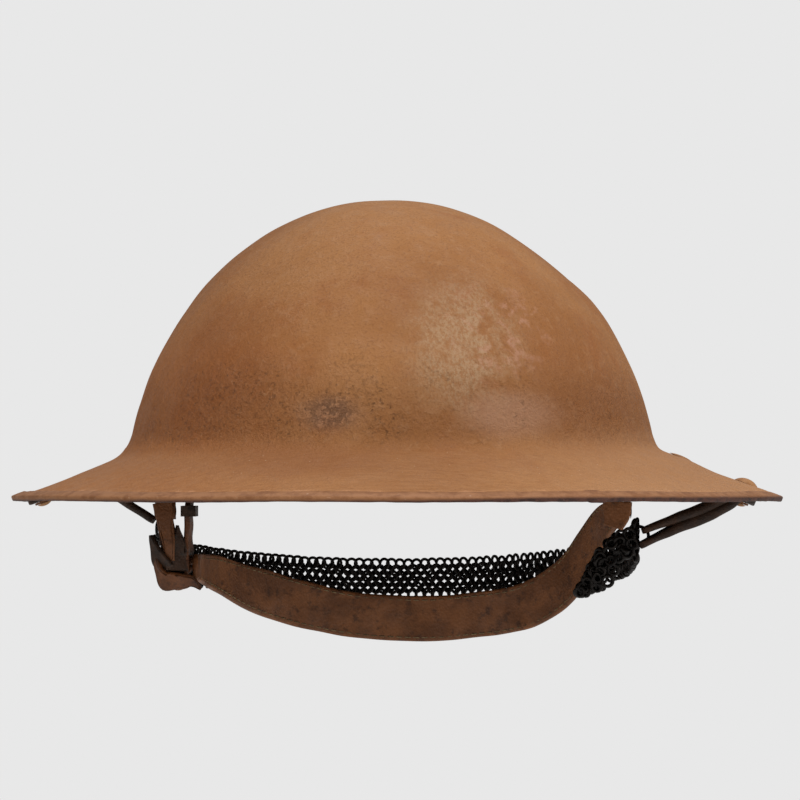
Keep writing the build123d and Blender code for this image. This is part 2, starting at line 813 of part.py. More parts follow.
def brim_washer_disc(layers):
    depth = sheet + seat_gap + layers * brim_leather + hole_gap + brim_washer / 2
    disc = Cylinder(brim_washer_r, brim_washer) - Cylinder(brim_rivet_r + hole_gap, overrun)
    return brim_frame(brim_rivet_x) * Pos(0, 0, -depth) * disc


def bale_rivet():
    grip = sheet + seat_gap + bracket_sheet + flange_slack
    return brim_rivet_solid(bale_rivet_x, bale_rivet_r, bale_rivet_head_r, bale_rivet_head, grip,
                            bale_tail_r, bale_tail)


def write(name, shape):
    export_step(shape, f"parts/{name}.step")
    print(name, round(shape.volume, 1))


def main():
    write("shell", shell())
    write("rim_binding", rim_binding())
    for name, shape in crown_parts().items():
        write(name, shape)
    write("crown_felt_pad", crown_felt_pad())
    write("liner_cap", liner_cap())
    write("liner_net", liner_net())
    write("net_draw_cord", net_draw_cord())
    write("liner_band", liner_band())
    write("rubber_spacers", rubber_spacers())
    pairs = {"bale_bracket": bale_bracket(), "pivot_pin": pivot_pin(), "bale": bale(), "bale_rivet": bale_rivet(),
             "tab_rivet": tab_rivet(), "link_ring": link_torus(0), "strap_tab": strap_tab()}
    for name, shape in pairs.items():
        write(f"right_{name}", shape)
        write(f"left_{name}", flip(shape))
    write("right_brim_strap", right_brim_strap())
    write("left_brim_strap", left_brim_strap())
    write("right_brim_rivet", brim_rivet(2))
    write("left_brim_rivet", flip(brim_rivet(1)))
    write("right_brim_washer", brim_washer_disc(2))
    write("left_brim_washer", flip(brim_washer_disc(1)))
    write("left_strap_loop", left_strap_loop())
    write("strap_end_rivet", strap_end_rivet())
    write("strap_keeper", strap_keeper())
    write("chin_strap", chin_strap())
    write("mail_strip", mail_strip())


main()
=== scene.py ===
"""The looks of the steel helmet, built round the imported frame.

Lengths are in millimetres until a mesh is made.
"""

from math import cos, hypot, pi, radians, sin, sqrt

import bpy
import numpy as np
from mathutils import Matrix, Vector


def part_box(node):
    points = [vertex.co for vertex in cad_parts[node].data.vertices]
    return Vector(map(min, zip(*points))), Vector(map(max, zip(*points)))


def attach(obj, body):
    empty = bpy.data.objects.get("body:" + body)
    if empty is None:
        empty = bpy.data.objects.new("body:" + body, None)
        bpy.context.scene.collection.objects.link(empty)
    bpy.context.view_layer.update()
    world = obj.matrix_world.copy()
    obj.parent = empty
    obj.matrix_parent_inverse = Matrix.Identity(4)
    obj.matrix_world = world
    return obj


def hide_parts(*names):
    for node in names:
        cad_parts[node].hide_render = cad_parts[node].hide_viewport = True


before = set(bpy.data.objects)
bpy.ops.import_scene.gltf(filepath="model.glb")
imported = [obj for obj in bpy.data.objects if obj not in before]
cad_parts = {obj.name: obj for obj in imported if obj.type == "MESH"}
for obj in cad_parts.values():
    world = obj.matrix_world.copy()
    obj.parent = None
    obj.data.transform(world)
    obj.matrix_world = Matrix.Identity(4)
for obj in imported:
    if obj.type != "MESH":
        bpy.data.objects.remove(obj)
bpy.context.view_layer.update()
MM = 0.001

# the sheet's profile, as in the CAD

BRIM_X, BRIM_Y = 144.6, 152.1
BOWL_X, BOWL_Y = 98.2, 114.2
CROWN, FOOT, EDGE_Z = 113.2, 26.0, 1.9
CROWN_HOLE = 2.5
SHEET = 1.0
SLOPE_IN, SLOPE_OUT = radians(24.5), radians(20.5)
# the cove between bowl and brim: its end, and how far the curves lead on past their ends
COVE_OUT, COVE_DOWN = 8.8, 9.2
FOOT_LEAD, COVE_LEAD, BRIM_LEAD = 0.19, 4.5, 12
# shares of the bowl's half width and of its height
UPPER = [(0.3244, 1.0), (0.5431, 0.8520), (0.7021, 0.6554)]
LOWER = [(0.7021, 0.6554), (0.7911, 0.5455), (0.9500, 0.2923), (1.0, 0.0)]
PROFILE_ROWS = [46, 60, 34, 56]

# height above the rim, and how much wider than the even oval the real sheet is to the left and right there
WIDER = [
    (1.9, -2.2, 0.5), (4.5, -4.5, 2.4), (8.3, -4.6, 1.3), (11.0, -4.1, 0.2), (15.8, -4.3, 1.7),
    (19.6, -1.4, -2.0), (23.3, -0.5, -1.0), (31.0, -0.5, -1.2), (46.0, -0.1, -0.6), (68.0, -0.6, -0.4),
    (76.0, -1.1, -1.2), (83.5, -1.3, -2.9), (91.0, -1.2, -4.6), (98.5, -1.4, -4.8), (109.0, -0.7, -4.8),
]
SMOOTH_ROWS = 6


def bowl_point(side, rise):
    return (BOWL_X * side, BOWL_Y * side, FOOT + (CROWN - FOOT) * rise)


def brim_y(x):
    return BOWL_Y + (x - BOWL_X) / (BRIM_X - BOWL_X) * (BRIM_Y - BOWL_Y)


def brim_point(x, z):
    return (x, brim_y(x), z)


def outer_spans():
    """The sheet's upper side as four curves, from the crown to the rim."""
    upper = [(CROWN_HOLE, CROWN_HOLE, CROWN)] + [bowl_point(*share) for share in UPPER]
    lower = [bowl_point(*share) for share in LOWER]
    foot, last = lower[3], lower[2]
    lead = tuple(f + FOOT_LEAD * (f - q) for f, q in zip(foot, last))
    x, z = BOWL_X + COVE_OUT, FOOT - COVE_DOWN
    before = brim_point(x - COVE_LEAD * cos(SLOPE_IN), z + COVE_LEAD * sin(SLOPE_IN))
    after = brim_point(x + BRIM_LEAD * cos(SLOPE_IN), z - BRIM_LEAD * sin(SLOPE_IN))
    inward = brim_point(BRIM_X - BRIM_LEAD * cos(SLOPE_OUT), EDGE_Z + BRIM_LEAD * sin(SLOPE_OUT))
    return [upper, lower, [foot, lead, before, brim_point(x, z)],
            [brim_point(x, z), after, inward, brim_point(BRIM_X, EDGE_Z)]]


def offset_spans(spans, depth):
    """The same curves at a depth under the sheet's upper side."""
    chain = spans[0] + [p for span in spans[1:] for p in span[1:]]
    moved = []
    for i, (a, b, z) in enumerate(chain):
        p, q = chain[max(i - 1, 0)], chain[min(i + 1, len(chain) - 1)]
        fall = q[2] - p[2]
        run_x, run_y = q[0] - p[0], q[1] - p[1]
        sx, sy = hypot(run_x, fall), hypot(run_y, fall)
        moved.append((a + depth * fall / sx, b + depth * fall / sy, z - depth * run_x / sx))
    moved[0] = (chain[0][0], chain[0][1], moved[0][2])
    return [moved[3 * i:3 * i + 4] for i in range(len(spans))]


def sample(spans, steps):
    """Rows of (half width, half length, z) along the spans."""
    rows = []
    for k, span in enumerate(spans):
        points = np.array(span)
        for t in np.linspace(0, 1, steps[k])[(1 if k else 0):]:
            s = 1 - t
            rows.append(points.T @ np.array([s ** 3, 3 * s * s * t, 3 * s * t * t, t ** 3]))
    return np.array(rows)


outer = sample(outer_spans(), PROFILE_ROWS)
inner = sample(offset_spans(outer_spans(), SHEET), PROFILE_ROWS)


def smooth(values, width):
    """Values averaged with a rounded window, the ends kept."""
    k = np.exp(-np.linspace(-2, 2, 2 * width + 1) ** 2)
    padded = np.concatenate([np.repeat(values[0], width), values, np.repeat(values[-1], width)])
    return np.convolve(padded, k / k.sum(), mode="valid")


def side_scales():
    """The real sheet's width over the even oval's, per profile row, on the left and on the right."""
    rows = np.array(WIDER)
    height = np.minimum(outer[:, 2], rows[-1, 0])
    even = np.interp(-height, -outer[:, 2], outer[:, 0])
    return [smooth(1 + np.interp(height, rows[:, 0], rows[:, side]) / even, SMOOTH_ROWS) for side in (1, 2)]


left_scale, right_scale = side_scales()


def waves(points, amount, size, seed):
    """A smooth random value per point, from a handful of plane waves."""
    r = np.random.default_rng(seed)
    total = np.zeros(len(points))
    count = 14
    for _ in range(count):
        way = r.normal(size=3)
        way *= r.uniform(0.6, 1.6) * 2 * pi / (size * np.linalg.norm(way))
        total += np.sin(points @ way + r.uniform(0, 2 * pi))
    return total * amount / sqrt(count)


# meshes


def make(name, points, faces, material, body, hides=(), slot=None):
    """A mesh from points in millimetres that moves with a body and stands for CAD nodes."""
    mesh = bpy.data.meshes.new(name)
    mesh.from_pydata([tuple(p) for p in np.asarray(points, float) * MM], [], faces)
    mesh.update()
    mesh.polygons.foreach_set("use_smooth", [True] * len(mesh.polygons))
    piece = bpy.data.objects.new(name, mesh)
    bpy.context.scene.collection.objects.link(piece)
    mesh.materials.append(material)
    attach(piece, body)
    if hides:
        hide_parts(*hides)
    return piece


def grid_faces(rows, columns, closed):
    """Faces between neighbouring rows, each of them a loop. Where closed, the last row meets the first."""
    faces = []
    for i in range(rows if closed else rows - 1):
        for j in range(columns):
            here, below = i * columns, (i + 1) % rows * columns
            after = (j + 1) % columns
            faces.append((here + j, here + after, below + after, below + j))
    return faces


def end_faces(rows, columns):
    """The two flat ends of a closed row that was carried along a path."""
    return [tuple(range(columns))[::-1], tuple((rows - 1) * columns + k for k in range(columns))]


def unit(v):
    v = np.asarray(v, float)
    return v / np.linalg.norm(v, axis=-1, keepdims=True)


def circle(steps):
    """Angles once round."""
    return np.linspace(0, 2 * pi, steps, endpoint=False)


def run_along(path):
    """The length from the path's start to each of its points."""
    return np.concatenate([[0], np.cumsum(np.linalg.norm(np.diff(path, axis=0), axis=1))])


def tangents(path, closed=False):
    path = np.asarray(path, float)
    if closed:
        return unit(np.roll(path, -1, axis=0) - np.roll(path, 1, axis=0))
    return unit(np.gradient(path, axis=0))


def tube(path, radius, sides, closed=False, hint=(0.13, 0.29, 0.95)):
    """Points and faces of a round bar along a path. The hint is a direction that the path never takes."""
    path = np.asarray(path, float)
    ways = tangents(path, closed)
    across = np.empty_like(path)
    last = np.array(hint, float)
    for i, way in enumerate(ways):
        last = last - way * (last @ way)
        last /= np.linalg.norm(last)
        across[i] = last
    other = np.cross(ways, across)
    turn = circle(sides)[:, None]
    points = path[:, None] + radius * (across[:, None] * np.cos(turn) + other[:, None] * np.sin(turn))
    faces = grid_faces(len(path), sides, closed)
    if not closed:
        faces += end_faces(len(path), sides)
    return points.reshape(-1, 3), faces


def join(parts):
    """Several (points, faces) as one."""
    points, faces, start = [], [], 0
    for p, f in parts:
        points.append(p)
        faces += [tuple(i + start for i in face) for face in f]
        start += len(p)
    return np.concatenate(points), faces


def ring(middle, radius, wire, normal, sides, steps):
    """A wire ring about a normal."""
    normal = unit(normal)
    side = unit(np.cross(normal, (0.31, 0.22, 0.92)))
    other = np.cross(normal, side)
    turn = circle(steps)[:, None]
    path = np.asarray(middle) + radius * (np.cos(turn) * side + np.sin(turn) * other)
    return tube(path, wire / 2, sides, True, hint=tuple(normal + 0.01 * side))


def strip_section():
    """Places round a strip's section: share of the width, bend, share of the thickness, bend."""
    across_points, corner_points = 10, 4
    section = []
    for sx, sy, start in ((1, 1, 0), (-1, 1, 90), (-1, -1, 180), (1, -1, 270)):
        for a in np.radians(np.linspace(start, start + 90, corner_points)):
            section.append((0.5 * sx, cos(a) - sx, 0.5 * sy, sin(a) - sy))
        if sx == sy:
            for share in np.linspace(0.5, -0.5, across_points)[1:-1]:
                section.append((sx * share, 0.0, 0.5 * sy, 0.0))
    return np.array(section)


def strip(path, across, width, thick, round_ends=0.0):
    """A leather strip along a path: across is the direction of its width."""
    rounding = 0.42
    path = np.asarray(path, float)
    ways = tangents(path)
    across = np.broadcast_to(np.asarray(across, float), path.shape)
    across = unit(across - ways * np.sum(across * ways, axis=1)[:, None])
    outward = np.cross(ways, across)
    width = np.broadcast_to(np.asarray(width, float), (len(path),)).copy()
    thick = np.broadcast_to(np.asarray(thick, float), (len(path),))
    if round_ends:
        run = run_along(path)
        share = np.clip(np.minimum(run, run[-1] - run) / round_ends, 0.0, 1.0)
        width *= 0.35 + 0.65 * np.sqrt(1 - (1 - share) ** 2)
    bend = rounding * thick[:, None]
    by_width, width_bend, by_thick, thick_bend = strip_section().T
    u = by_width * width[:, None] + width_bend * bend
    v = by_thick * thick[:, None] + thick_bend * bend
    points = path[:, None] + across[:, None] * u[:, :, None] + outward[:, None] * v[:, :, None]
    count = len(by_width)
    faces = grid_faces(len(path), count, False) + end_faces(len(path), count)
    return points.reshape(-1, 3), faces


def between(at, places, rows):
    """The rows of a table, interpolated at one place or at many."""
    return np.stack([np.interp(at, places, column) for column in np.asarray(rows).T], axis=-1)


def shaped_strip(knots, count, width, thick, across=(0, 1, 0), round_ends=0.0):
    """A strip through knots whose width and thickness are given at the knots."""
    path = curve_through(knots, count)
    rows = np.empty((len(knots), 5))
    rows[:, :3], rows[:, 3], rows[:, 4] = across, width, thick
    rows = between(np.linspace(0, len(knots) - 1, len(path)), range(len(knots)), rows)
    return strip(path, rows[:, :3], rows[:, 3], rows[:, 4], round_ends)


def curve_through(knots, count):
    """A smooth path through knots."""
    knots = np.asarray(knots, float)
    padded = np.vstack([2 * knots[0] - knots[1], knots, 2 * knots[-1] - knots[-2]])
    out = []
    for i in range(len(knots) - 1):
        p0, p1, p2, p3 = padded[i:i + 4]
        for t in np.linspace(0, 1, count, endpoint=False):
            out.append(0.5 * (2 * p1 + (p2 - p0) * t + (2 * p0 - 5 * p1 + 4 * p2 - p3) * t * t
                              + (3 * p1 - p0 - 3 * p2 + p3) * t ** 3))
    out.append(knots[-1])
    return np.array(out)


def roughen(points, amount, size, seed):
    """Small random offsets that keep neighbouring points together."""
    points = np.asarray(points, float)
    return points + np.stack([waves(points, amount, size, seed + k) for k in range(3)], axis=1)


# materials


def linear(rgb):
    """A tone of 0 to 255 per channel, as linear light."""
    return tuple((c / 255 / 12.92 if c <= 10.3 else ((c / 255 + 0.055) / 1.055) ** 2.4) for c in rgb)


class Look:
    """A procedural material, built node by node. Its tone is painted over layer by layer.

    Places in its masks are in metres.
    """

    def __init__(self, name, roughness, metallic, specular):
        self.material = bpy.data.materials.new(name)
        self.material.use_nodes = True
        self.tree = self.material.node_tree
        self.base = self.tree.nodes["Principled BSDF"]
        self.base.inputs["Roughness"].default_value = roughness
        self.base.inputs["Metallic"].default_value = metallic
        self.base.inputs["Specular IOR Level"].default_value = specular
        self.place = self.add("ShaderNodeTexCoord", {}).outputs["Object"]
        self.x, self.y, self.z = self.add("ShaderNodeSeparateXYZ", {0: self.place}).outputs
        self.tone = None

    def add(self, kind, values, **props):
        """A node with some of its inputs linked or set, by number or name."""
        node = self.tree.nodes.new(kind)
        for key, value in props.items():
            setattr(node, key, value)
        for key, value in values.items():
            self.put(node.inputs[key], value)
        return node

    def put(self, socket, value):
        if isinstance(value, bpy.types.NodeSocket):
            self.tree.links.new(value, socket)
        elif socket.type == "RGBA":
            socket.default_value = (*value, 1.0)
        else:
            socket.default_value = value

    def math(self, op, a, b=0.0):
        return self.add("ShaderNodeMath", {0: a, 1: b}, operation=op).outputs[0]

    def times(self, value, *others):
        for other in others:
            value = self.math("MULTIPLY", value, other)
        return value

    def total(self, *parts):
        """The sum of values, each with its weight."""
        value = 0.0
        for part, weight in parts:
            value = self.math("ADD", self.times(part, weight), value)
        return value

    def map(self, value, low, high, to_low=0.0, to_high=1.0):
        ends = dict(enumerate((value, low, high, to_low, to_high)))
        return self.add("ShaderNodeMapRange", ends, interpolation_type="SMOOTHSTEP").outputs[0]

    def stretch(self, *scale):
        return self.add("ShaderNodeMapping", {"Vector": self.place, "Scale": scale}).outputs[0]

    def noise(self, scale, detail=4.0, rough=0.55, place=None, twist=0.0):
        values = {"Vector": place or self.place, "Scale": scale, "Detail": detail, "Roughness": rough,
                  "Distortion": twist}
        return self.add("ShaderNodeTexNoise", values).outputs["Fac"]

    def spots(self, low, high, *noise):
        """A mask of random spots."""
        return self.map(self.noise(*noise), low, high)

    def cells(self, scale):
        return self.add("ShaderNodeTexVoronoi", {"Vector": self.place, "Scale": scale}).outputs["Distance"]

    def mix(self, share, a, b):
        return self.add("ShaderNodeMix", {"Factor": share, 6: a, 7: b}, data_type="RGBA").outputs[2]

    def cover(self, mask, share, rgb):
        """Another layer over the tone so far."""
        self.tone = self.mix(self.times(mask, share), self.tone, linear(rgb))

    def blob(self, x, z, wide, tall):
        """A soft round mask on the side that faces the viewer, by place on the object."""
        dx = self.math("DIVIDE", self.math("SUBTRACT", self.x, x * MM), wide * MM)
        dz = self.math("DIVIDE", self.math("SUBTRACT", self.z, z * MM), tall * MM)
        far = self.math("SQRT", self.math("ADD", self.times(dx, dx), self.times(dz, dz)))
        return self.times(self.map(far, 0.25, 1.0, 1.0, 0.0), self.map(self.y, -0.02, 0.0, 1.0, 0.0))

    def complete(self, relief, strength, distance, roughness=None):
        """The material with its tone, its relief and, where it varies, its roughness."""
        values = {"Strength": strength, "Distance": distance, "Height": relief}
        self.put(self.base.inputs["Normal"], self.add("ShaderNodeBump", values).outputs[0])
        self.put(self.base.inputs["Base Color"], self.tone)
        if roughness is not None:
            self.put(self.base.inputs["Roughness"], roughness)
        return self.material


# places on the near side: x, z, width, height and share of the tone; the darker ones are painted shade on the
# bowl's left and right sides, its top and its lower left
SHADED_PLACES = [(-63, 47, 34, 36, 0.26), (66, 42, 30, 34, 0.20), (-8, 74, 30, 26, 0.10), (-31, 15.5, 40, 10, 0.34)]
PALER = [(41, 31, 24, 12, 0.30), (-22, 31, 16, 9, 0.20)]


def steel_look():
    """Old khaki paint over rust, pitted near the bowl's foot and worn pale in one place, with painted shade
    on its sides and lower left and a painted highlight along the brim.
    """
    look = Look("steel", 0.62, 0.0, 0.35)
    middle = look.noise(46, 5, 0.6)
    fine = look.noise(260, 6, 0.7)
    grain = look.noise(1100, 3, 0.6)
    look.tone = look.mix(look.spots(0.34, 0.66, 14, 3, 0.5), linear((172, 119, 70)), linear((151, 97, 49)))
    look.cover(look.map(middle, 0.48, 0.74), 0.40, (148, 84, 34))
    look.cover(look.map(fine, 0.50, 0.68), 0.30, (184, 138, 98))
    look.cover(look.map(grain, 0.50, 0.68), 0.34, (108, 64, 32))
    # painted shade: the bowl darker and warmer towards its lower left
    left_low_shade = look.times(look.map(look.x, 0.01, -0.085), look.map(look.z, 0.085, 0.035, 0.15, 1.0))
    look.cover(left_low_shade, 0.48, (162, 88, 26))

    # half width of the profile's row, in metres
    row = look.add("ShaderNodeAttribute", {}, attribute_name="ring").outputs["Fac"]
    brim = look.map(row, 0.098, 0.110)
    stripes = look.noise(620, 6, 0.7, look.stretch(0.14, 1.0, 1.6))
    brim_tone = look.mix(look.map(stripes, 0.36, 0.68), linear((174, 122, 76)), linear((154, 103, 59)))
    look.tone = look.mix(look.times(brim, 0.55), look.tone, brim_tone)
    look.cover(look.times(look.map(row, 0.136, 0.112), look.map(look.z, 0.052, 0.034)), 0.14, (116, 68, 32))
    # painted shade on the bowl's left and right sides, its top and its lower left
    for *place, share in SHADED_PLACES:
        look.cover(look.blob(*place), share, (126, 68, 26))
    for *place, share in PALER:
        look.cover(look.blob(*place), share, (200, 160, 136))
    right_low = look.times(look.map(look.x, 0.03, 0.10), look.map(look.z, 0.032, 0.020))
    look.cover(right_low, 0.34, (200, 150, 106))
    # painted highlight: a pale broken line standing for the light on a faint ridge near the brim's edge
    ridge_highlight = look.times(look.map(row, 0.1370, 0.1382), look.map(row, 0.1402, 0.1390),
                         look.spots(0.50, 0.62, 300, 5, 0.7, look.stretch(0.25, 1.0, 1.0)))
    look.cover(ridge_highlight, 0.55, (206, 150, 108))
    fleck = look.times(look.map(look.cells(420), 0.10, 0.05), look.spots(0.50, 0.62, 90, 2))
    look.cover(look.times(fleck, brim), 0.8, (222, 190, 160))

    worn = look.times(look.blob(25, 56, 28, 34), look.spots(0.36, 0.58, 90, 4, 0.6))
    scuffs = look.map(look.noise(640, 6, 0.75, look.stretch(1.4, 1.0, 0.7)), 0.40, 0.60, 0.25, 1.0)
    look.cover(look.times(worn, scuffs), 0.56, (188, 160, 126))
    pink = look.times(look.blob(38, 60, 26, 24), look.spots(0.50, 0.66, 150, 5, 0.7))
    look.cover(pink, 0.40, (204, 154, 132))

    band = look.times(look.map(look.z, 0.017, 0.027), look.map(look.z, 0.058, 0.034),
                      look.map(look.y, 0.0, -0.05))
    left_band = look.times(band, look.map(look.x, 0.075, -0.02, 0.35, 1.0))
    pits = look.times(left_band, look.spots(0.40, 0.60, 60, 4, 0.6), look.spots(0.55, 0.68, 640, 6, 0.8))
    cluster = look.times(look.blob(-21.8, 31.5, 13, 8), look.spots(0.47, 0.60, 420, 6, 0.8))
    dark = look.math("MAXIMUM", pits, cluster)
    look.cover(dark, 0.48, (88, 54, 28))
    look.cover(look.times(left_band, look.spots(0.62, 0.72, 610, 3, 0.6)), 0.30, (196, 152, 112))
    relief = look.total((fine, 0.7), (grain, 0.45), (middle, 0.6), (dark, -0.8),
                        (look.times(band, fine), 1.6), (look.times(brim, stripes), 0.12))
    return look.complete(relief, 0.75, 0.0014, look.map(look.noise(120), 0.3, 0.7, 0.52, 0.74))


def metal_look(name, rgb, other, roughness, metallic, size):
    """Dull metal with a second tone and a fine grain."""
    look = Look(name, roughness, metallic, 0.4)
    look.tone = look.mix(look.spots(0.40, 0.66, size, 5, 0.65), linear(rgb), linear(other))
    dull = look.map(look.noise(size * 1.7, 3), 0.3, 0.7, roughness - 0.1, roughness + 0.15)
    return look.complete(look.noise(size * 2.5, 4, 0.65), 0.35, 0.0003, dull)


def leather_look(name, rgb, worn, dark, roughness=0.55, size=1.0):
    """Aged leather: worn tones, small grain cells and dark cracks."""
    look = Look(name, roughness, 0.0, 0.4)
    look.tone = look.mix(look.spots(0.40, 0.64, 70 * size, 4, 0.6), linear(rgb), linear(worn))
    look.cover(look.spots(0.50, 0.70, 240 * size, 5, 0.7), 0.7, dark)
    relief = look.total((look.cells(900 * size), 0.5), (look.noise(160 * size, 6, 0.7, twist=1.0), 0.9))
    dull = look.map(look.noise(150 * size, 3), 0.3, 0.7, roughness - 0.12, roughness + 0.12)
    return look.complete(relief, 0.5, 0.0005, dull)


def cloth_look(name, rgb, other, thread, roughness):
    """Woven or felted cloth: crossed threads over a mottled tone."""
    look = Look(name, roughness, 0.0, 0.2)
    look.tone = look.mix(look.spots(0.38, 0.64, 60), linear(rgb), linear(other))
    values = {"Vector": look.place, "Scale": thread / 6, "Distortion": 1.5}
    wave = look.add("ShaderNodeTexWave", values, wave_type="BANDS", bands_direction="DIAGONAL")
    fuzz = look.noise(thread, 3, 0.6)
    look.cover(fuzz, 0.35, tuple(c * 0.6 for c in rgb))
    return look.complete(look.math("ADD", wave.outputs["Fac"], fuzz), 0.4, 0.0004)


def rim_look():
    """The folded strip: the brim's worn paint on top, dark bare steel along the lower edge."""
    look = Look("rim_steel", 0.58, 0.05, 0.35)
    paint = look.mix(look.spots(0.38, 0.66, 210, 5, 0.65), linear((160, 110, 72)), linear((134, 86, 50)))
    bare = look.mix(look.spots(0.40, 0.66, 420, 5, 0.65), linear((84, 50, 38)), linear((48, 28, 24)))
    wander = look.times(look.math("SUBTRACT", look.noise(210, 5, 0.6), 0.5), 0.0014)
    right = look.map(look.x, 0.0, 0.07, 0.0, 0.0011)
    height = look.math("SUBTRACT", look.math("ADD", look.z, wander), right)
    look.tone = look.mix(look.map(height, 0.0017, 0.0004), paint, bare)
    glint = look.times(look.spots(0.66, 0.76, 640, 3, 0.6), look.map(look.z, 0.0004, 0.0016))
    look.cover(glint, 0.6, (196, 160, 136))
    return look.complete(look.noise(520, 4, 0.65), 0.4, 0.0004)


STEEL = steel_look()
UNDER = metal_look("steel_inside", (96, 66, 42), (58, 38, 26), 0.7, 0.0, 130)
BINDING = rim_look()
HEAD = metal_look("painted_rivet", (170, 122, 78), (140, 92, 50), 0.6, 0.0, 320)
RIVET = metal_look("rivet_steel", (150, 104, 72), (104, 64, 40), 0.55, 0.25, 500)
WIRE = metal_look("hanger_wire", (74, 62, 52), (40, 30, 24), 0.45, 0.75, 500)
KEEPER = metal_look("keeper_metal", (72, 56, 44), (30, 20, 14), 0.5, 0.4, 200)
MAIL = metal_look("mail_steel", (36, 31, 28), (16, 13, 12), 0.42, 0.6, 600)
BROWN = leather_look("strap_leather", (110, 66, 34), (138, 86, 48), (54, 30, 16))
DARK_BROWN = leather_look("worn_dark_leather", (84, 48, 24), (118, 70, 36), (30, 16, 10), 0.5)
DARK = leather_look("dark_leather", (46, 30, 20), (72, 47, 30), (18, 12, 8), 0.62)
BAND = leather_look("band_leather", (58, 43, 33), (84, 62, 44), (26, 18, 14), 0.6, 0.7)
CAP = cloth_look("cap_oilcloth", (46, 38, 32), (66, 54, 44), 900, 0.6)
NET = cloth_look("net_cord", (156, 136, 100), (122, 102, 74), 2600, 0.9)
FELT = cloth_look("pad_felt", (128, 114, 94), (100, 88, 70), 700, 0.95)
RUBBER = metal_look("old_rubber", (52, 40, 34), (32, 25, 22), 0.75, 0.0, 260)
THREAD = cloth_look("sewing_thread", (150, 128, 96), (112, 92, 66), 3000, 0.9)


# steel shell and its binding

SHELL_COLUMNS, RIM_COLUMNS = 640, 1440
# the binding's fold: along the brim from its edge, and above it
FOLD = [(-4.8, 0.15), (-4.75, 0.45), (-4.5, 0.6), (-2.4, 0.6), (-0.3, 0.6), (0.25, 0.48), (0.5, 0.2)]
FOLD_NOSE = (0.62, -0.5)
LAP_X, LAP_HALF, LAP_RISE = 70.0, 3.0, 0.55


def oval_rows(rows, columns, left=1.0, right=1.0):
    """Points of profile rows carried round the oval, each side widened by its own scale."""
    turn = circle(columns)
    c, s = np.cos(turn), np.sin(turn)
    wide = np.where(c >= 0, np.reshape(right, (-1, 1)), np.reshape(left, (-1, 1)))
    half, length, height = rows.T[:, :, None]
    return np.stack(np.broadcast_arrays(half * c * wide, length * s, height), axis=2)


def shell_waves(points):
    """The points of an even pressed shell, moved a little as an old one's are."""
    flat = points.reshape(-1, 3)
    away = unit(flat * np.array([1.0, 0.85, 1.1]) + np.array([0, 0, -8.0]))
    on_bowl = np.clip((flat[:, 2] - 24.0) / 14.0, 0.0, 1.0)
    rise = waves(flat, 0.34, 62.0, 5) + waves(flat, 0.10, 21.0, 9)
    moved = flat + away * (rise * on_bowl)[:, None]
    from_middle = np.hypot(flat[:, 0], flat[:, 1] * BRIM_X / BRIM_Y)
    on_brim = np.clip((from_middle - 104.0) / 30.0, 0.0, 1.0)
    moved[:, 2] += waves(flat * np.array([1, 1, 0]), 0.22, 95.0, 21) * on_brim
    return moved.reshape(points.shape)


shell_top = shell_waves(oval_rows(outer, SHELL_COLUMNS, left_scale, right_scale))


def build_shell():
    low = shell_waves(oval_rows(inner, SHELL_COLUMNS, left_scale, right_scale))
    points = np.concatenate([shell_top, low[::-1]])
    faces = grid_faces(len(points), SHELL_COLUMNS, True)
    piece = make("steel_shell", points.reshape(-1, 3), faces, STEEL, "helmet", ["shell"], "steel")
    piece.data.materials.append(UNDER)
    which = np.zeros(len(faces), dtype=np.int32)
    which[len(outer) * SHELL_COLUMNS:] = 1
    piece.data.polygons.foreach_set("material_index", which)
    half = np.concatenate([outer[:, 0], inner[::-1, 0]]) * MM
    layer = piece.data.attributes.new("ring", "FLOAT", "POINT")
    layer.data.foreach_set("value", np.repeat(half, SHELL_COLUMNS).astype(np.float32))


def build_binding():
    """The folded strip over the rim, with its lapped joint on the near side."""
    out, up = (cos(SLOPE_OUT), -sin(SLOPE_OUT)), (sin(SLOPE_OUT), cos(SLOPE_OUT))
    edge, under = outer[-1], inner[-1]

    def at(base, along, above):
        x = base[0] + along * out[0] + above * up[0]
        z = base[2] + along * out[1] + above * up[1]
        return brim_point(x, z)

    nose_x, nose_y, _ = at(edge, *FOLD_NOSE)
    profile = [at(edge, along, above) for along, above in FOLD]
    profile.append((nose_x, nose_y, (edge[2] + under[2]) / 2))
    profile += [at(under, along, -above) for along, above in FOLD[::-1]]
    rows = np.array(profile)
    points = shell_waves(oval_rows(rows, RIM_COLUMNS, left_scale[-1], right_scale[-1]))
    turn = circle(RIM_COLUMNS)
    x, y = BRIM_X * np.cos(turn), BRIM_Y * np.sin(turn)
    lap = (y < 0) * np.clip((LAP_HALF - np.abs(x - LAP_X)) / 0.5, 0, 1)
    dents = 0.07 * waves(np.stack([x, y, 0 * x], axis=1), 1.0, 9.0, 31)
    away = unit(points - points.mean(axis=0, keepdims=True))
    points = points + away * (LAP_RISE * lap + dents)[None, :, None]
    faces = grid_faces(len(rows), RIM_COLUMNS, False)
    make("rim_strip", points.reshape(-1, 3), faces, BINDING, "helmet", ["rim_binding"], "binding")


# rivets and leather under the brim

BALE_RIVET_X, BRIM_RIVET_X = 108.5, 132.7
BRACKET_END = 93.0
SINK = 0.25


def brim_lift(x):
    """How far the finished sheet lies above the even one at a place on the brim beside the bowl."""
    flat = shell_top.reshape(-1, 3)
    near = np.argsort((flat[:, 0] - x) ** 2 + flat[:, 1] ** 2)[:6]
    return float(flat[near, 2].mean() - np.interp(abs(x), outer[:, 0], outer[:, 2]))


def brim_under(x):
    """The finished sheet's lower side at a place on the brim beside the bowl."""
    return float(np.interp(abs(x), inner[:, 0], inner[:, 2])) + brim_lift(x)


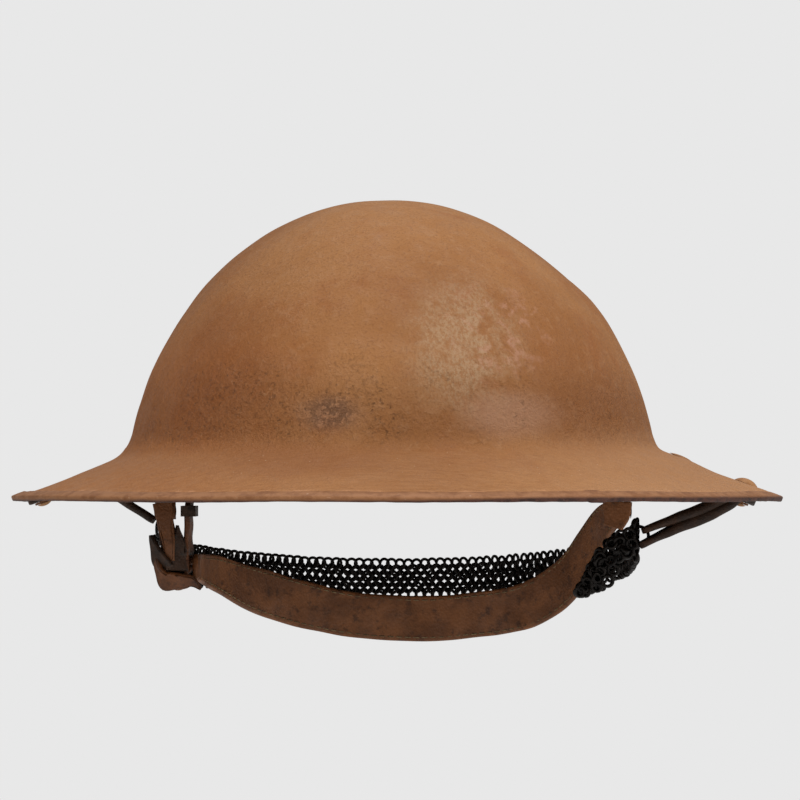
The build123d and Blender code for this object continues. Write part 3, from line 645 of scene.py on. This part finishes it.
def shifted_copy(node, dz, material, slot, keep=1.0, inner_end=None):
    """A copy of a small CAD node, moved with the uneven sheet.

    keep is the share of its head's height, and from inner_end inwards nothing moves.
    """
    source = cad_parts[node]
    points = np.array([v.co[:] for v in source.data.vertices]) / MM
    sheet_top = np.interp(np.hypot(points[:, 0], points[:, 1]), outer[:, 0], outer[:, 2])
    above = np.clip(points[:, 2] - sheet_top, 0.0, None)
    points[:, 2] -= above * (1 - keep)
    share = 1.0 if inner_end is None else np.clip((np.abs(points[:, 0]) - inner_end) / 6.0, 0.0, 1.0)
    points[:, 2] += dz * share
    faces = [tuple(p.vertices) for p in source.data.polygons]
    make(f"{node}_set", points, faces, material, "helmet", [node], slot)


def build_rivets():
    """Rivets, washers and bale brackets. The photo shows the left heads almost flush."""
    for name, side, bale_head, brim_head in (("right", 1, 0.75, 1.0), ("left", -1, 0.2, 0.2)):
        bale_lift = brim_lift(side * BALE_RIVET_X) - SINK
        rivet_lift = brim_lift(side * BRIM_RIVET_X) - SINK
        shifted_copy(f"{name}_bale_bracket", bale_lift, UNDER, "steel", 1.0, BRACKET_END)
        shifted_copy(f"{name}_bale_rivet", bale_lift, HEAD, "rivet", bale_head)
        shifted_copy(f"{name}_brim_rivet", rivet_lift, HEAD, "rivet", brim_head)
        shifted_copy(f"{name}_brim_washer", rivet_lift, RIVET, "rivet")
    shifted_copy("crown_rivet", shell_top[0, :, 2].mean() - CROWN - 0.2, HEAD, "rivet", 0.45)


def build_brim_straps():
    """Strips that run from the brim's rivets down to the mail, and the rings that they hold."""
    top, low = brim_under(BRIM_RIVET_X), brim_under(-BRIM_RIVET_X)
    upper = [(93.6, -10.9), (96.4, -9.8), (101.0, -8.1), (108.0, -5.7), (115.2, -3.1), (121.0, -0.4),
             (126.0, 1.9), (131.7, top - 1.5), (134.4, top - 2.4), (137.0, top - 3.5)]
    lower = [(92.6, -16.4), (95.4, -15.0), (100.5, -12.6), (107.5, -9.3), (114.0, -6.8), (120.4, -4.1),
             (125.8, -1.4), (130.6, top - 4.1), (133.4, top - 5.0), (136.0, top - 6.0)]
    single = [(89.5, -7.1), (93.6, -4.4), (98.1, -1.5), (104.4, 2.3), (111.5, 5.3), (119.0, 6.4),
              (126.0, low + 0.6), (131.8, low - 1.5), (137.0, low - 3.5)]
    thick = [2.1, 2.4, 2.9, 3.9, 4.2, 4.0, 3.3, 2.6, 2.6, 2.6]
    sides = (("right", 1, ((upper, thick), (lower, [2.4] + thick[1:]))), ("left", -1, ((single, 2.6),)))
    for name, side, leaves in sides:
        parts = []
        for k, (knots, depth) in enumerate(leaves):
            points, faces = shaped_strip([(side * x, 0, z) for x, z in knots], 9, 16.6, depth, round_ends=3.0)
            parts.append((roughen(points, 0.10, 11.0, 40 + k), faces))
        points, faces = join(parts)
        make(f"{name}_brim_leather", points, faces, DARK, "helmet", [f"{name}_brim_strap"], "dark_leather")
    right_ring = ring((92.4, 0, -12.8), 3.6, 1.3, (0, 1, 0), 10, 32)
    make("right_link", *right_ring, MAIL, "helmet", ["right_link_ring"], "mail")
    turn = circle(40)
    c, s = np.cos(turn), np.sin(turn)
    path = np.stack([-88.7 + 0.6 * c, 9.6 + 2.6 * c, -10.2 + 3.0 * s], axis=1)
    more = ring((-88.6, 12.4, -13.9), 2.2, 1.0, (0.5, -0.2, 0.9), 8, 20)
    make("left_link", *join([tube(path, 0.55, 8, True), more]), MAIL, "helmet", ["left_link_ring"], "mail")


# chin strap

HANGER_X, BAR_Z, FOLD_RADIUS = 85.6, 1.5, 2.55
STRAP_END_X, STRAP_Y = 73.8, 84.0
STRAP_THICK, TAB_THICK = 2.1, 2.05
# angle in degrees from the right hanger round the face side, height, lean and width
STATIONS = np.array([
    (0, -3.5, 0.0, 6.0), (12, -5.2, 0.20, 11.2), (22, -9.9, 0.60, 16.2), (30, -19.0, 0.95, 18),
    (40, -31.0, 0.85, 18), (55, -41.3, 0.35, 18), (75, -45.6, 0.10, 18), (90, -46.5, 0.0, 18),
    (110, -43.9, -0.18, 18), (135, -35.7, -0.28, 18), (155, -28.4, -0.14, 14.4), (170, -25.4, -0.05, 11.2),
    (180, -24.6, 0.0, 10.5),
])


def build_chin_strap():
    table = curve_through(STATIONS, 12)
    span, centre = (HANGER_X + STRAP_END_X) / 2, (HANGER_X - STRAP_END_X) / 2
    turn = np.radians(table[:, 0])
    path = np.stack([centre + span * np.cos(turn), STRAP_Y * np.sin(turn), table[:, 1]], axis=1)
    outward = unit(np.stack([np.cos(turn) / span, np.sin(turn) / STRAP_Y, 0 * turn], axis=1))
    tangent = np.stack([-outward[:, 1], outward[:, 0], 0 * turn], axis=1)
    along = unit(tangent - np.array([0, 0, 1.0]) * table[:, 2][:, None])
    across = np.cross(outward, along)
    head = np.array([(HANGER_X - 0.3, -8.7, -4.2), (HANGER_X, -5.0, -4.0), (HANGER_X, -2.5, -3.7)])
    tail = np.array([(-STRAP_END_X, y, STATIONS[-1, 1]) for y in (-2.0, -4.0, -6.0)])
    path = np.concatenate([head, path, tail])
    across = np.concatenate([np.repeat(across[:1], 3, 0), across, np.repeat(across[-1:], 3, 0)])
    width = np.concatenate([[8.6, 8.4, 7.0], table[:, 3], [10.5, 10.0, 8.0]])
    points, faces = strip(path, across, width, STRAP_THICK)
    points = roughen(points, 0.16, 24.0, 60)
    make("long_strap", points, faces, BROWN, "strap", ["chin_strap"], "strap")
    thread = []
    for sign in (1, -1):
        line = (path + across * (sign * (width / 2 - 1.6))[:, None])[6:-6]
        out = np.cross(tangents(path), unit(across))[6:-6]
        thread += stitches(line, out, STRAP_THICK / 2, 3.4)
    make("long_strap_thread", *join(thread), THREAD, "strap", (), "strap")


def stitches(line, out, lift, pitch):
    """Short dashes of thread along a line, on both faces of the leather."""
    run = run_along(line)
    parts = []
    for k in range(1, int(run[-1] / pitch) - 1):
        for face in (1, -1):
            ends = []
            for share, rise in ((0.14, -0.12), (0.5, 0.10), (0.86, -0.12)):
                at = (k + share) * pitch
                ends.append(between(at, run, line) + unit(between(at, run, out)) * face * (lift + rise))
            parts.append(tube(ends, 0.26, 5))
    return parts


def fold_path(low):
    """The middle line of a strip folded over the bale's bar, in the XZ plane."""
    r = FOLD_RADIUS
    left = [(-r, z) for z in np.linspace(low, BAR_Z, 9)[:-1]]
    over = [(r * -cos(a), BAR_Z + r * sin(a)) for a in np.linspace(0, pi, 17)]
    right = [(r, z) for z in np.linspace(BAR_Z, low, 9)[1:]]
    return np.array([(HANGER_X + x, 0, z) for x, z in left + over + right])


def build_tabs():
    """Leather folded round each bale's bar, narrow where it passes through the bale, and its near face."""
    right_front = [(83.9, -9.8, 0.1), (83.8, -9.9, -2.6), (83.4, -9.9, -5.6), (82.2, -9.8, -9.4)]
    left_front = [(-86.1, -9.4, -0.2), (-85.6, -10.0, -4.0), (-84.6, -10.7, -10.0), (-83.6, -11.1, -16.0),
                  (-83.0, -11.1, -22.0)]
    for name, side, fall, inward, front, front_width in (
            ("right", 1, 9.4, 0.034, right_front, [11.0, 10.6, 10.0, 7.6]),
            ("left", -1, 8.0, 0.005, left_front, [7.6, 7.0, 5.8, 4.8, 3.6])):
        path = fold_path(BAR_Z - fall)
        width = smooth(np.where(path[:, 2] > 0.2, 10.6, 17.6), 1)
        path[:, 0] -= np.clip(-path[:, 2], 0.0, None) ** 2 * inward
        path[:, 0] *= side
        points, faces = strip(path, (0.10 * side, 1, 0), width, TAB_THICK)
        parts = [(roughen(points, 0.10, 12.0, 70 + side), faces)]
        points, faces = shaped_strip(front, 8, front_width, 1.7, (0.97, -0.25, 0.0))
        parts.append((roughen(points, 0.12, 14.0, 77 + side), faces))
        make(f"{name}_tab_leather", *join(parts), BROWN, "strap", [f"{name}_strap_tab"], "strap")


def build_loop():
    """The strap's left end: down from the tab, buckled round a low bend, and up again as a free tail."""
    knots = [(-85.6, -0.4), (-85.6, -4.5), (-85.3, -9.0), (-84.5, -14.0), (-83.7, -19.0), (-83.0, -23.5),
             (-81.9, -26.8), (-80.2, -28.3), (-78.3, -27.6), (-77.1, -25.0), (-76.9, -21.0), (-77.0, -15.0),
             (-76.8, -9.0), (-76.6, -3.5), (-76.5, 0.3)]
    turn = np.radians([11, 12, 13, 13, 12, 12, 10, 8, 6, 5, 4, 3, 2, 2, 2])
    roll = np.radians([0, 0, 0, 4, 9, 16, 25, 30, 24, 14, 6, 2, 0, 0, 0])
    across = np.stack([np.sin(turn), np.cos(turn) * np.cos(roll), np.sin(roll)], axis=1)
    loop = shaped_strip([(x, 0, z) for x, z in knots], 8, 17.4, TAB_THICK, across, 2.4)
    skirt = [(-88.3, -8.6, -20.6), (-87.2, -9.6, -25.6), (-84.4, -10.0, -29.2), (-79.6, -10.0, -29.6),
             (-75.2, -9.7, -29.6), (-71.7, -9.4, -32.4)]
    point = shaped_strip(skirt, 8, [2.6, 5.0, 8.0, 6.8, 5.0, 0.9], 1.9, (0.1, -0.35, 0.9))
    points, faces = join([loop, point])
    points = roughen(points, 0.20, 9.0, 80)
    make("strap_end_loop", points, faces, DARK_BROWN, "strap", ["left_strap_loop"], "strap")
    horn = [(-90.3, -9.6, -12.4), (-89.6, -9.8, -15.0), (-88.5, -9.9, -18.0), (-87.0, -9.8, -21.4),
            (-84.6, -9.4, -25.4)]
    flap = [(-80.6, -9.0, -8.6), (-80.3, -9.2, -12.5), (-80.0, -9.4, -18.5), (-80.6, -9.5, -25.6)]
    points, faces = join([shaped_strip(horn, 8, [1.0, 3.4, 5.6, 8.0, 9.5], 1.7, (0.62, -0.62, 0.2)),
                          shaped_strip(flap, 8, [0.8, 3.4, 6.4, 8.8], 1.8, (0.9, 0.35, 0.1))])
    make("strap_end_folds", roughen(points, 0.20, 9.0, 83), faces, DARK, "strap", (), "dark_leather")


# mail

MAIL_X, MAIL_Y0, MAIL_REACH = 91.2, 22.0, 82.6
MAIL_START, MAIL_HEIGHT, MAIL_TOP, MAIL_FALL = -5.2, 17.0, -6.0, 0.16
LINK_ROWS, LINK_COLUMNS, LINK_LEAN = 6, 92, 0.46
LINK_RADIUS, LINK_WIRE, LINK_SIDES, LINK_STEPS = 2.05, 1.2, 7, 16
BUNCH_RADIUS, BUNCH_SPACING = 1.75, 1.9
STRIP_HOLE, BUNCH_HOLE = 1.9, 3.0
CAMERA_AWAY = 1504.0
# the gathered end by the right ring, as seen from the camera: its outline and the places to see through
BUNCH = [(89.0, -9.6), (90.4, -10.6), (89.9, -14.0), (89.7, -17.6), (88.0, -19.4), (86.0, -20.8),
         (84.6, -22.8), (83.8, -25.2), (83.3, -28.0), (81.9, -29.9), (78.8, -31.4), (74.1, -33.2),
         (69.6, -34.4), (70.0, -32.4), (72.7, -29.4), (75.2, -22.6), (78.9, -17.4), (84.2, -12.7)]
GAPS = [(88.6, -11.9), (80.9, -18.8), (82.5, -25.3), (80.4, -29.6), (84.4, -20.4), (89.6, -15.7)]
STRIP_GAPS = GAPS[1:4]


def link(place, radius, wire, normal):
    return ring(place, radius, wire, normal, LINK_SIDES, LINK_STEPS)


def mail_line():
    """The strip's line in plan: past the right ring, round the face side, to behind the left tab."""
    turn = np.linspace(0, pi, 1200)
    line = [(MAIL_X, y) for y in np.linspace(MAIL_START, MAIL_Y0, 200)[:-1]]
    line += [(MAIL_X * cos(t), MAIL_Y0 + MAIL_REACH * sin(t)) for t in turn]
    line = np.array(line)
    inward = np.clip((66.0 - line[:, 1]) / 44.0, 0.0, 1.0) * (line[:, 0] < 0)
    line[:, 0] += 3.6 * inward ** 2 * (3 - 2 * inward)
    return line


def build_mail():
    """Rows of linked wire rings, every other row leaning the other way, and the chain to the left ring."""
    line = mail_line()
    run = run_along(line)
    ways = tangents(line)
    pitch = (run[-1] - 2 * LINK_RADIUS) / (LINK_COLUMNS - 1)
    step = (MAIL_HEIGHT - 2 * LINK_RADIUS - LINK_WIRE) / (LINK_ROWS - 1)
    parts = []
    r = np.random.default_rng(3)
    for row in range(LINK_ROWS):
        odd = row % 2
        for k in range(LINK_COLUMNS - odd):
            at = LINK_RADIUS + (k + 0.5 * odd) * pitch
            x, y = between(at, run, line)
            tangent = unit([*between(at, run, ways), 0])
            outward = np.array([tangent[1], -tangent[0], 0])
            z = MAIL_TOP - MAIL_FALL * y - LINK_RADIUS - LINK_WIRE / 2 - row * step
            seen = CAMERA_AWAY / (CAMERA_AWAY + y)
            if x > 70.0 and any(hypot(x * seen - a, z * seen - b) < STRIP_HOLE for a, b in STRIP_GAPS):
                continue
            lean = (1 if odd else -1) * LINK_LEAN + r.normal(0, 0.08)
            normal = outward * cos(lean) + tangent * sin(lean) + np.array([0, 0, r.normal(0, 0.08)])
            place = np.array([x, y, z]) + r.normal(0, 0.13, 3)
            parts.append(link(place, LINK_RADIUS * r.uniform(0.95, 1.03), LINK_WIRE, normal))
    chain = [((-89.3, 15.4, -14.5), (0.9, 0.3, 0.3)), ((-89.2, 18.0, -14.3), (0.4, 0.2, 0.9)),
             ((-88.7, 20.8, -14.2), (0.9, -0.2, 0.3))]
    parts += [link(place, 1.85, 1.0, normal) for place, normal in chain]
    make("mail_links", *join(parts), MAIL, "mail", ["mail_strip"], "mail")
    make("gathered_mail", *join(gathered_links()), MAIL, "helmet", (), "mail")


def inside(x, z, outline):
    """Whether a place lies in an outline."""
    hit = False
    for (x0, z0), (x1, z1) in zip(outline, outline[1:] + outline[:1]):
        if (z0 > z) != (z1 > z) and x < x0 + (z - z0) / (z1 - z0) * (x1 - x0):
            hit = not hit
    return hit


def gathered_links():
    """Links that hang in a bunch under the right ring, where the strip's end gathers."""
    r = np.random.default_rng(12)
    links = [link((x, y, z), 2.0, 1.3, (0.1, 1.0, 0.1)) for x, z in GAPS for y in (-4.6, -1.6)]
    taken = []
    for _ in range(6000):
        x, z, y = r.uniform(68.0, 91.0), r.uniform(-35.0, -9.0), r.uniform(-5.6, 1.6)
        place = np.array([x, y, z])
        if not inside(x, z, BUNCH) or any(hypot(x - a, z - b) < BUNCH_HOLE for a, b in GAPS):
            continue
        if any(np.linalg.norm(place - other) < BUNCH_SPACING for other in taken):
            continue
        taken.append(place)
        links.append(link(place, BUNCH_RADIUS, LINK_WIRE * 1.1, (r.normal(0, 0.5), 1.0, r.normal(0, 0.5))))
    return links


# inside of the bowl

BAND_FOOT, BAND_TOP = 20.0, 50.0
BAND_GAP, BAND_WALL = 5.2, 2.6
THREAD_HEIGHTS = (23.0, 46.5)
CAP_DEPTH = SHEET + 12.1
CAP_THICK, CAP_EDGE = 1.2, 50.6
WASHER, CLEARANCE, SOFT_GAP = 1.0, 0.1, 0.3
PAD_THICK, PAD_TOP_REACH, PAD_LOW_REACH = 5.0, 34.0, 32.5
NET_TOP, NET_MOUTH = 89.0, 20.3
NET_CORDS, NET_LEVELS, NET_CORD = 44, 10, 0.72


def band_side(z):
    """Half width and length of the band's inner face at a height."""
    high = np.array(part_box("liner_band")[1][:2]) / MM
    wall = [np.interp(-h, -inner[:, 2], inner[:, 0]) for h in (BAND_FOOT + BAND_GAP, BAND_TOP)]
    lean = wall[1] - wall[0]
    rise = (z - BAND_FOOT) / (BAND_TOP - BAND_FOOT)
    return high + np.array([lean, lean * BOWL_Y / BOWL_X]) * rise - BAND_WALL


def build_band():
    """The oilcloth and leather band: padded a little, rolled at the lower edge."""

    def at(z, out, height=None):
        a, b = band_side(z)
        return (a + out, b + out, z if height is None else height)

    profile = [at(z, 0.15 - 0.25 * sin((z - 20.9) / 28.3 * pi)) for z in np.linspace(20.9, 49.2, 15)]
    profile += [at(BAND_TOP, 0.5, 49.9), at(BAND_TOP, 1.3, 50.1), at(BAND_TOP, 2.1, 49.9)]
    profile += [at(z, 2.5) for z in np.linspace(49.0, 21.2, 13)]
    profile += [at(BAND_FOOT, 2.3, 20.4), at(BAND_FOOT, 1.3, 19.9), at(BAND_FOOT, 0.4, 20.2)]
    columns = 360
    flat = oval_rows(np.array(profile), columns).reshape(-1, 3)
    away = unit(flat * np.array([1, 1, 0]))
    flat = flat + away * (waves(flat, 0.16, 26.0, 91) + waves(flat, 0.07, 8.0, 92))[:, None]
    faces = grid_faces(len(profile), columns, True)
    make("head_band", flat, faces, BAND, "helmet", ["liner_band"], "liner_leather")


def soft_dome(name, outside, inside_rows, material, node, slot, ripple):
    """A soft dome between two profiles, gathered a little towards its edge."""
    columns = 260
    rows = np.concatenate([outside, inside_rows[::-1]])
    points = oval_rows(rows, columns)
    turn = circle(columns)
    size = np.hypot(points[..., 0], points[..., 1])
    fade = np.clip(size / size.max(), 0, 1) ** 2
    folds = ripple * (np.sin(26 * turn + 0.8 * np.sin(5 * turn)) * 0.6 + 0.4 * np.sin(41 * turn + 1.0))
    flat = points.reshape(-1, 3)
    away = unit(flat * np.array([1.0, 1.0, 1.3]))
    flat = flat + away * ((folds[None] * fade).reshape(-1) + waves(flat, ripple * 0.5, 17.0, 95))[:, None]
    return make(name, flat, grid_faces(len(rows), columns, True), material, "helmet", [node], slot)


def cap_side(depth, top):
    """The cap's profile at a depth under the sheet, flattened at the crown."""
    upper, lower = offset_spans(outer_spans(), depth)[:2]
    upper = [(2.6, 2.6, top), (upper[1][0], upper[1][1], top)] + upper[2:]
    rows = sample([upper, lower], [22, 26])
    return rows[rows[:, 2] > CAP_EDGE]


def build_cap():
    """The oilcloth cap drawn tight over the net, with small gathers at its edge."""
    top = CROWN - SHEET - SOFT_GAP - WASHER - CLEARANCE - PAD_THICK - SOFT_GAP
    over, under = cap_side(CAP_DEPTH, top), cap_side(CAP_DEPTH + CAP_THICK, top - CAP_THICK)
    cap = soft_dome("cap_cloth", over, under, CAP, "liner_cap", "liner_leather", 0.14)


def build_felt():
    """The felt pad under the crown, slightly uneven."""
    depth = SHEET + SOFT_GAP + WASHER + CLEARANCE
    upper, lower = (sample([offset_spans(outer_spans(), d)[0]], [30]) for d in (depth, depth + PAD_THICK))
    upper, lower = upper[upper[:, 0] < PAD_TOP_REACH], lower[lower[:, 0] < PAD_LOW_REACH]
    edge = np.array([(upper[-1] * 0.35 + lower[-1] * 0.65) * np.array([1.012, 1.012, 1.0])])
    pad = soft_dome("felt_pad", np.concatenate([upper, edge]), lower, FELT, "crown_felt_pad", "felt", 0.16)


def build_net():
    """A knotted cord net that hangs from the top of the band to a laced mouth."""
    low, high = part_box("liner_net")
    a, b = high[0] / MM - 1.0, high[1] / MM - 1.0
    foot = (a, b, low[2] / MM + 0.9)
    rise = NET_TOP - foot[2]
    mouth = NET_MOUTH + 1.3
    curve = [(mouth, mouth, NET_TOP), (0.52 * a, 0.52 * b, NET_TOP - 0.4),
             (0.87 * a, 0.87 * b, foot[2] + rise * 0.56), foot]
    rows = sample([curve], [25])
    last = len(rows) - 1

    def at(t, cord, lift=0.0):
        ra, rb, z = between(t * last, range(len(rows)), rows)
        angle = 2 * pi * cord / NET_CORDS
        return (ra * cos(angle), rb * sin(angle), z - 0.8 * (1 - t) + lift)

    shares = np.linspace(0, 1, len(rows))
    parts = [tube([at(t, k + way * t * NET_LEVELS / 2, 0.35 * way) for t in shares], NET_CORD, 6)
             for k in range(NET_CORDS) for way in (1, -1)]
    knots = [at(level / NET_LEVELS, k + (level % 2) * 0.5)
             for k in range(NET_CORDS) for level in range(1, NET_LEVELS)]
    parts += [ring(knot, 0.55, 1.5, (0.2, 0.3, 0.9), 5, 6) for knot in knots]
    make("head_net", *join(parts), NET, "helmet", ["liner_net"], "net")


def build_draw_cord():
    """The laced cord at the net's mouth, drawn round in two twisted strands."""
    turn = circle(160)
    strands = []
    for phase in (0.0, pi):
        radius = NET_MOUTH + 0.62 * np.cos(18 * turn + phase)
        height = NET_TOP + 0.62 * np.sin(18 * turn + phase)
        path = np.stack([radius * np.cos(turn), radius * np.sin(turn), height], axis=1)
        strands.append(tube(path, 0.78, 7, True))
    make("mouth_cord", *join(strands), NET, "helmet", ["net_draw_cord"], "net")


def build_band_trim():
    """Two rows of thread round the liner band's inner face."""
    parts = []
    places = range(400)
    turn = np.linspace(0, 2 * pi, 400)
    for z in THREAD_HEIGHTS:
        half = band_side(z)
        line = np.stack([half[0] * np.cos(turn), half[1] * np.sin(turn), 0 * turn + z], axis=1)
        inward = -unit(np.stack([np.cos(turn) / half[0], np.sin(turn) / half[1], 0 * turn], axis=1))
        for k in range(1, 118):
            start = k * 3.38
            p, q = between(start, places, line), between(start + 2.1, places, line)
            lift = between(start, places, inward)
            parts.append(tube([p + lift * 0.12, (p + q) / 2 + lift * 0.22, q + lift * 0.12], 0.3, 5))
    make("band_thread", *join(parts), THREAD, "helmet", (), "liner_leather")


# finishes on the CAD nodes that show


def dress(material, *names):
    for name in names:
        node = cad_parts[name]
        node.data.materials.clear()
        node.data.materials.append(material)


def both(*names):
    return [f"{side}_{name}" for name in names for side in ("right", "left")]


def build():
    build_shell()
    build_binding()
    build_rivets()
    build_brim_straps()
    build_chin_strap()
    build_tabs()
    build_loop()
    build_mail()
    build_net()
    build_draw_cord()
    build_band()
    build_band_trim()
    build_cap()
    build_felt()
    dress(RIVET, "crown_washer", "liner_washer", "strap_end_rivet", *both("pivot_pin", "tab_rivet"))
    dress(WIRE, *both("bale"))
    dress(KEEPER, "strap_keeper")
    dress(RUBBER, "rubber_spacers")


# stage, light and camera, in metres

FLOOR_Z = -0.30
CAMERA_X, CAMERA_Z, AIM_Z = 0.00263, 0.005, 0.03835
BACKGROUND, WORLD_LIGHT = 0.807, 0.31
# name, place, aim, size, power and tint
LAMPS = [
    ("key", (0.55, -1.5, 1.15), (0, 0, 0.04), 1.1, 18.5, (1.0, 0.985, 0.96)),
    ("fill", (-1.5, -0.9, 0.5), (0, 0, 0.03), 1.4, 5, (1.0, 0.98, 0.96)),
    ("side", (1.6, -0.3, 0.4), (0, 0, 0.03), 1.2, 6, (1.0, 0.98, 0.95)),
    ("top", (0.0, 0.3, 1.7), (0, 0, 0.05), 1.4, 10, (1.0, 1.0, 1.0)),
]


def build_stage():
    bpy.ops.mesh.primitive_plane_add(size=1.8, location=(0, 0, FLOOR_Z))
    floor = bpy.context.object
    floor.name = "floor"
    look = Look("floor_pale", 0.85, 0.0, 0.2)
    tone = look.mix(look.noise(30, 2), linear((228, 228, 228)), linear((233, 233, 232)))
    look.put(look.base.inputs["Base Color"], tone)
    floor.data.materials.append(look.material)


def turn_to(thing, aim):
    thing.rotation_euler = (Vector(aim) - thing.location).to_track_quat("-Z", "Y").to_euler()


def build_light():
    for name, place, aim, size, power, tint in LAMPS:
        data = bpy.data.lights.new(name, "AREA")
        data.shape = "DISK"
        data.size = size
        data.energy = power
        data.color = tint
        lamp = bpy.data.objects.new(name, data)
        lamp.location = place
        turn_to(lamp, aim)
        bpy.context.scene.collection.objects.link(lamp)
    world = bpy.data.worlds.new("studio")
    bpy.context.scene.world = world
    world.use_nodes = True
    tree = world.node_tree
    plain = tree.nodes["Background"]
    plain.inputs["Color"].default_value = (1.0, 0.99, 0.975, 1)
    plain.inputs["Strength"].default_value = WORLD_LIGHT
    seen = tree.nodes.new("ShaderNodeBackground")
    seen.inputs["Color"].default_value = (BACKGROUND, BACKGROUND, BACKGROUND, 1)
    paths = tree.nodes.new("ShaderNodeLightPath")
    pick = tree.nodes.new("ShaderNodeMixShader")
    for i, end in enumerate((paths.outputs["Is Camera Ray"], plain.outputs[0], seen.outputs[0])):
        tree.links.new(end, pick.inputs[i])
    tree.links.new(pick.outputs[0], tree.nodes["World Output"].inputs["Surface"])


def build_camera():
    data = bpy.data.cameras.new("camera")
    data.lens = 180
    data.sensor_width = 36
    camera = bpy.data.objects.new("camera", data)
    camera.location = (CAMERA_X, -CAMERA_AWAY * MM, CAMERA_Z)
    turn_to(camera, (CAMERA_X, 0, AIM_Z))
    bpy.context.scene.collection.objects.link(camera)
    bpy.context.scene.camera = camera
    bpy.context.scene.view_settings.view_transform = "Standard"


build()
build_stage()
build_light()
build_camera()

bpy.context.view_layer.update()
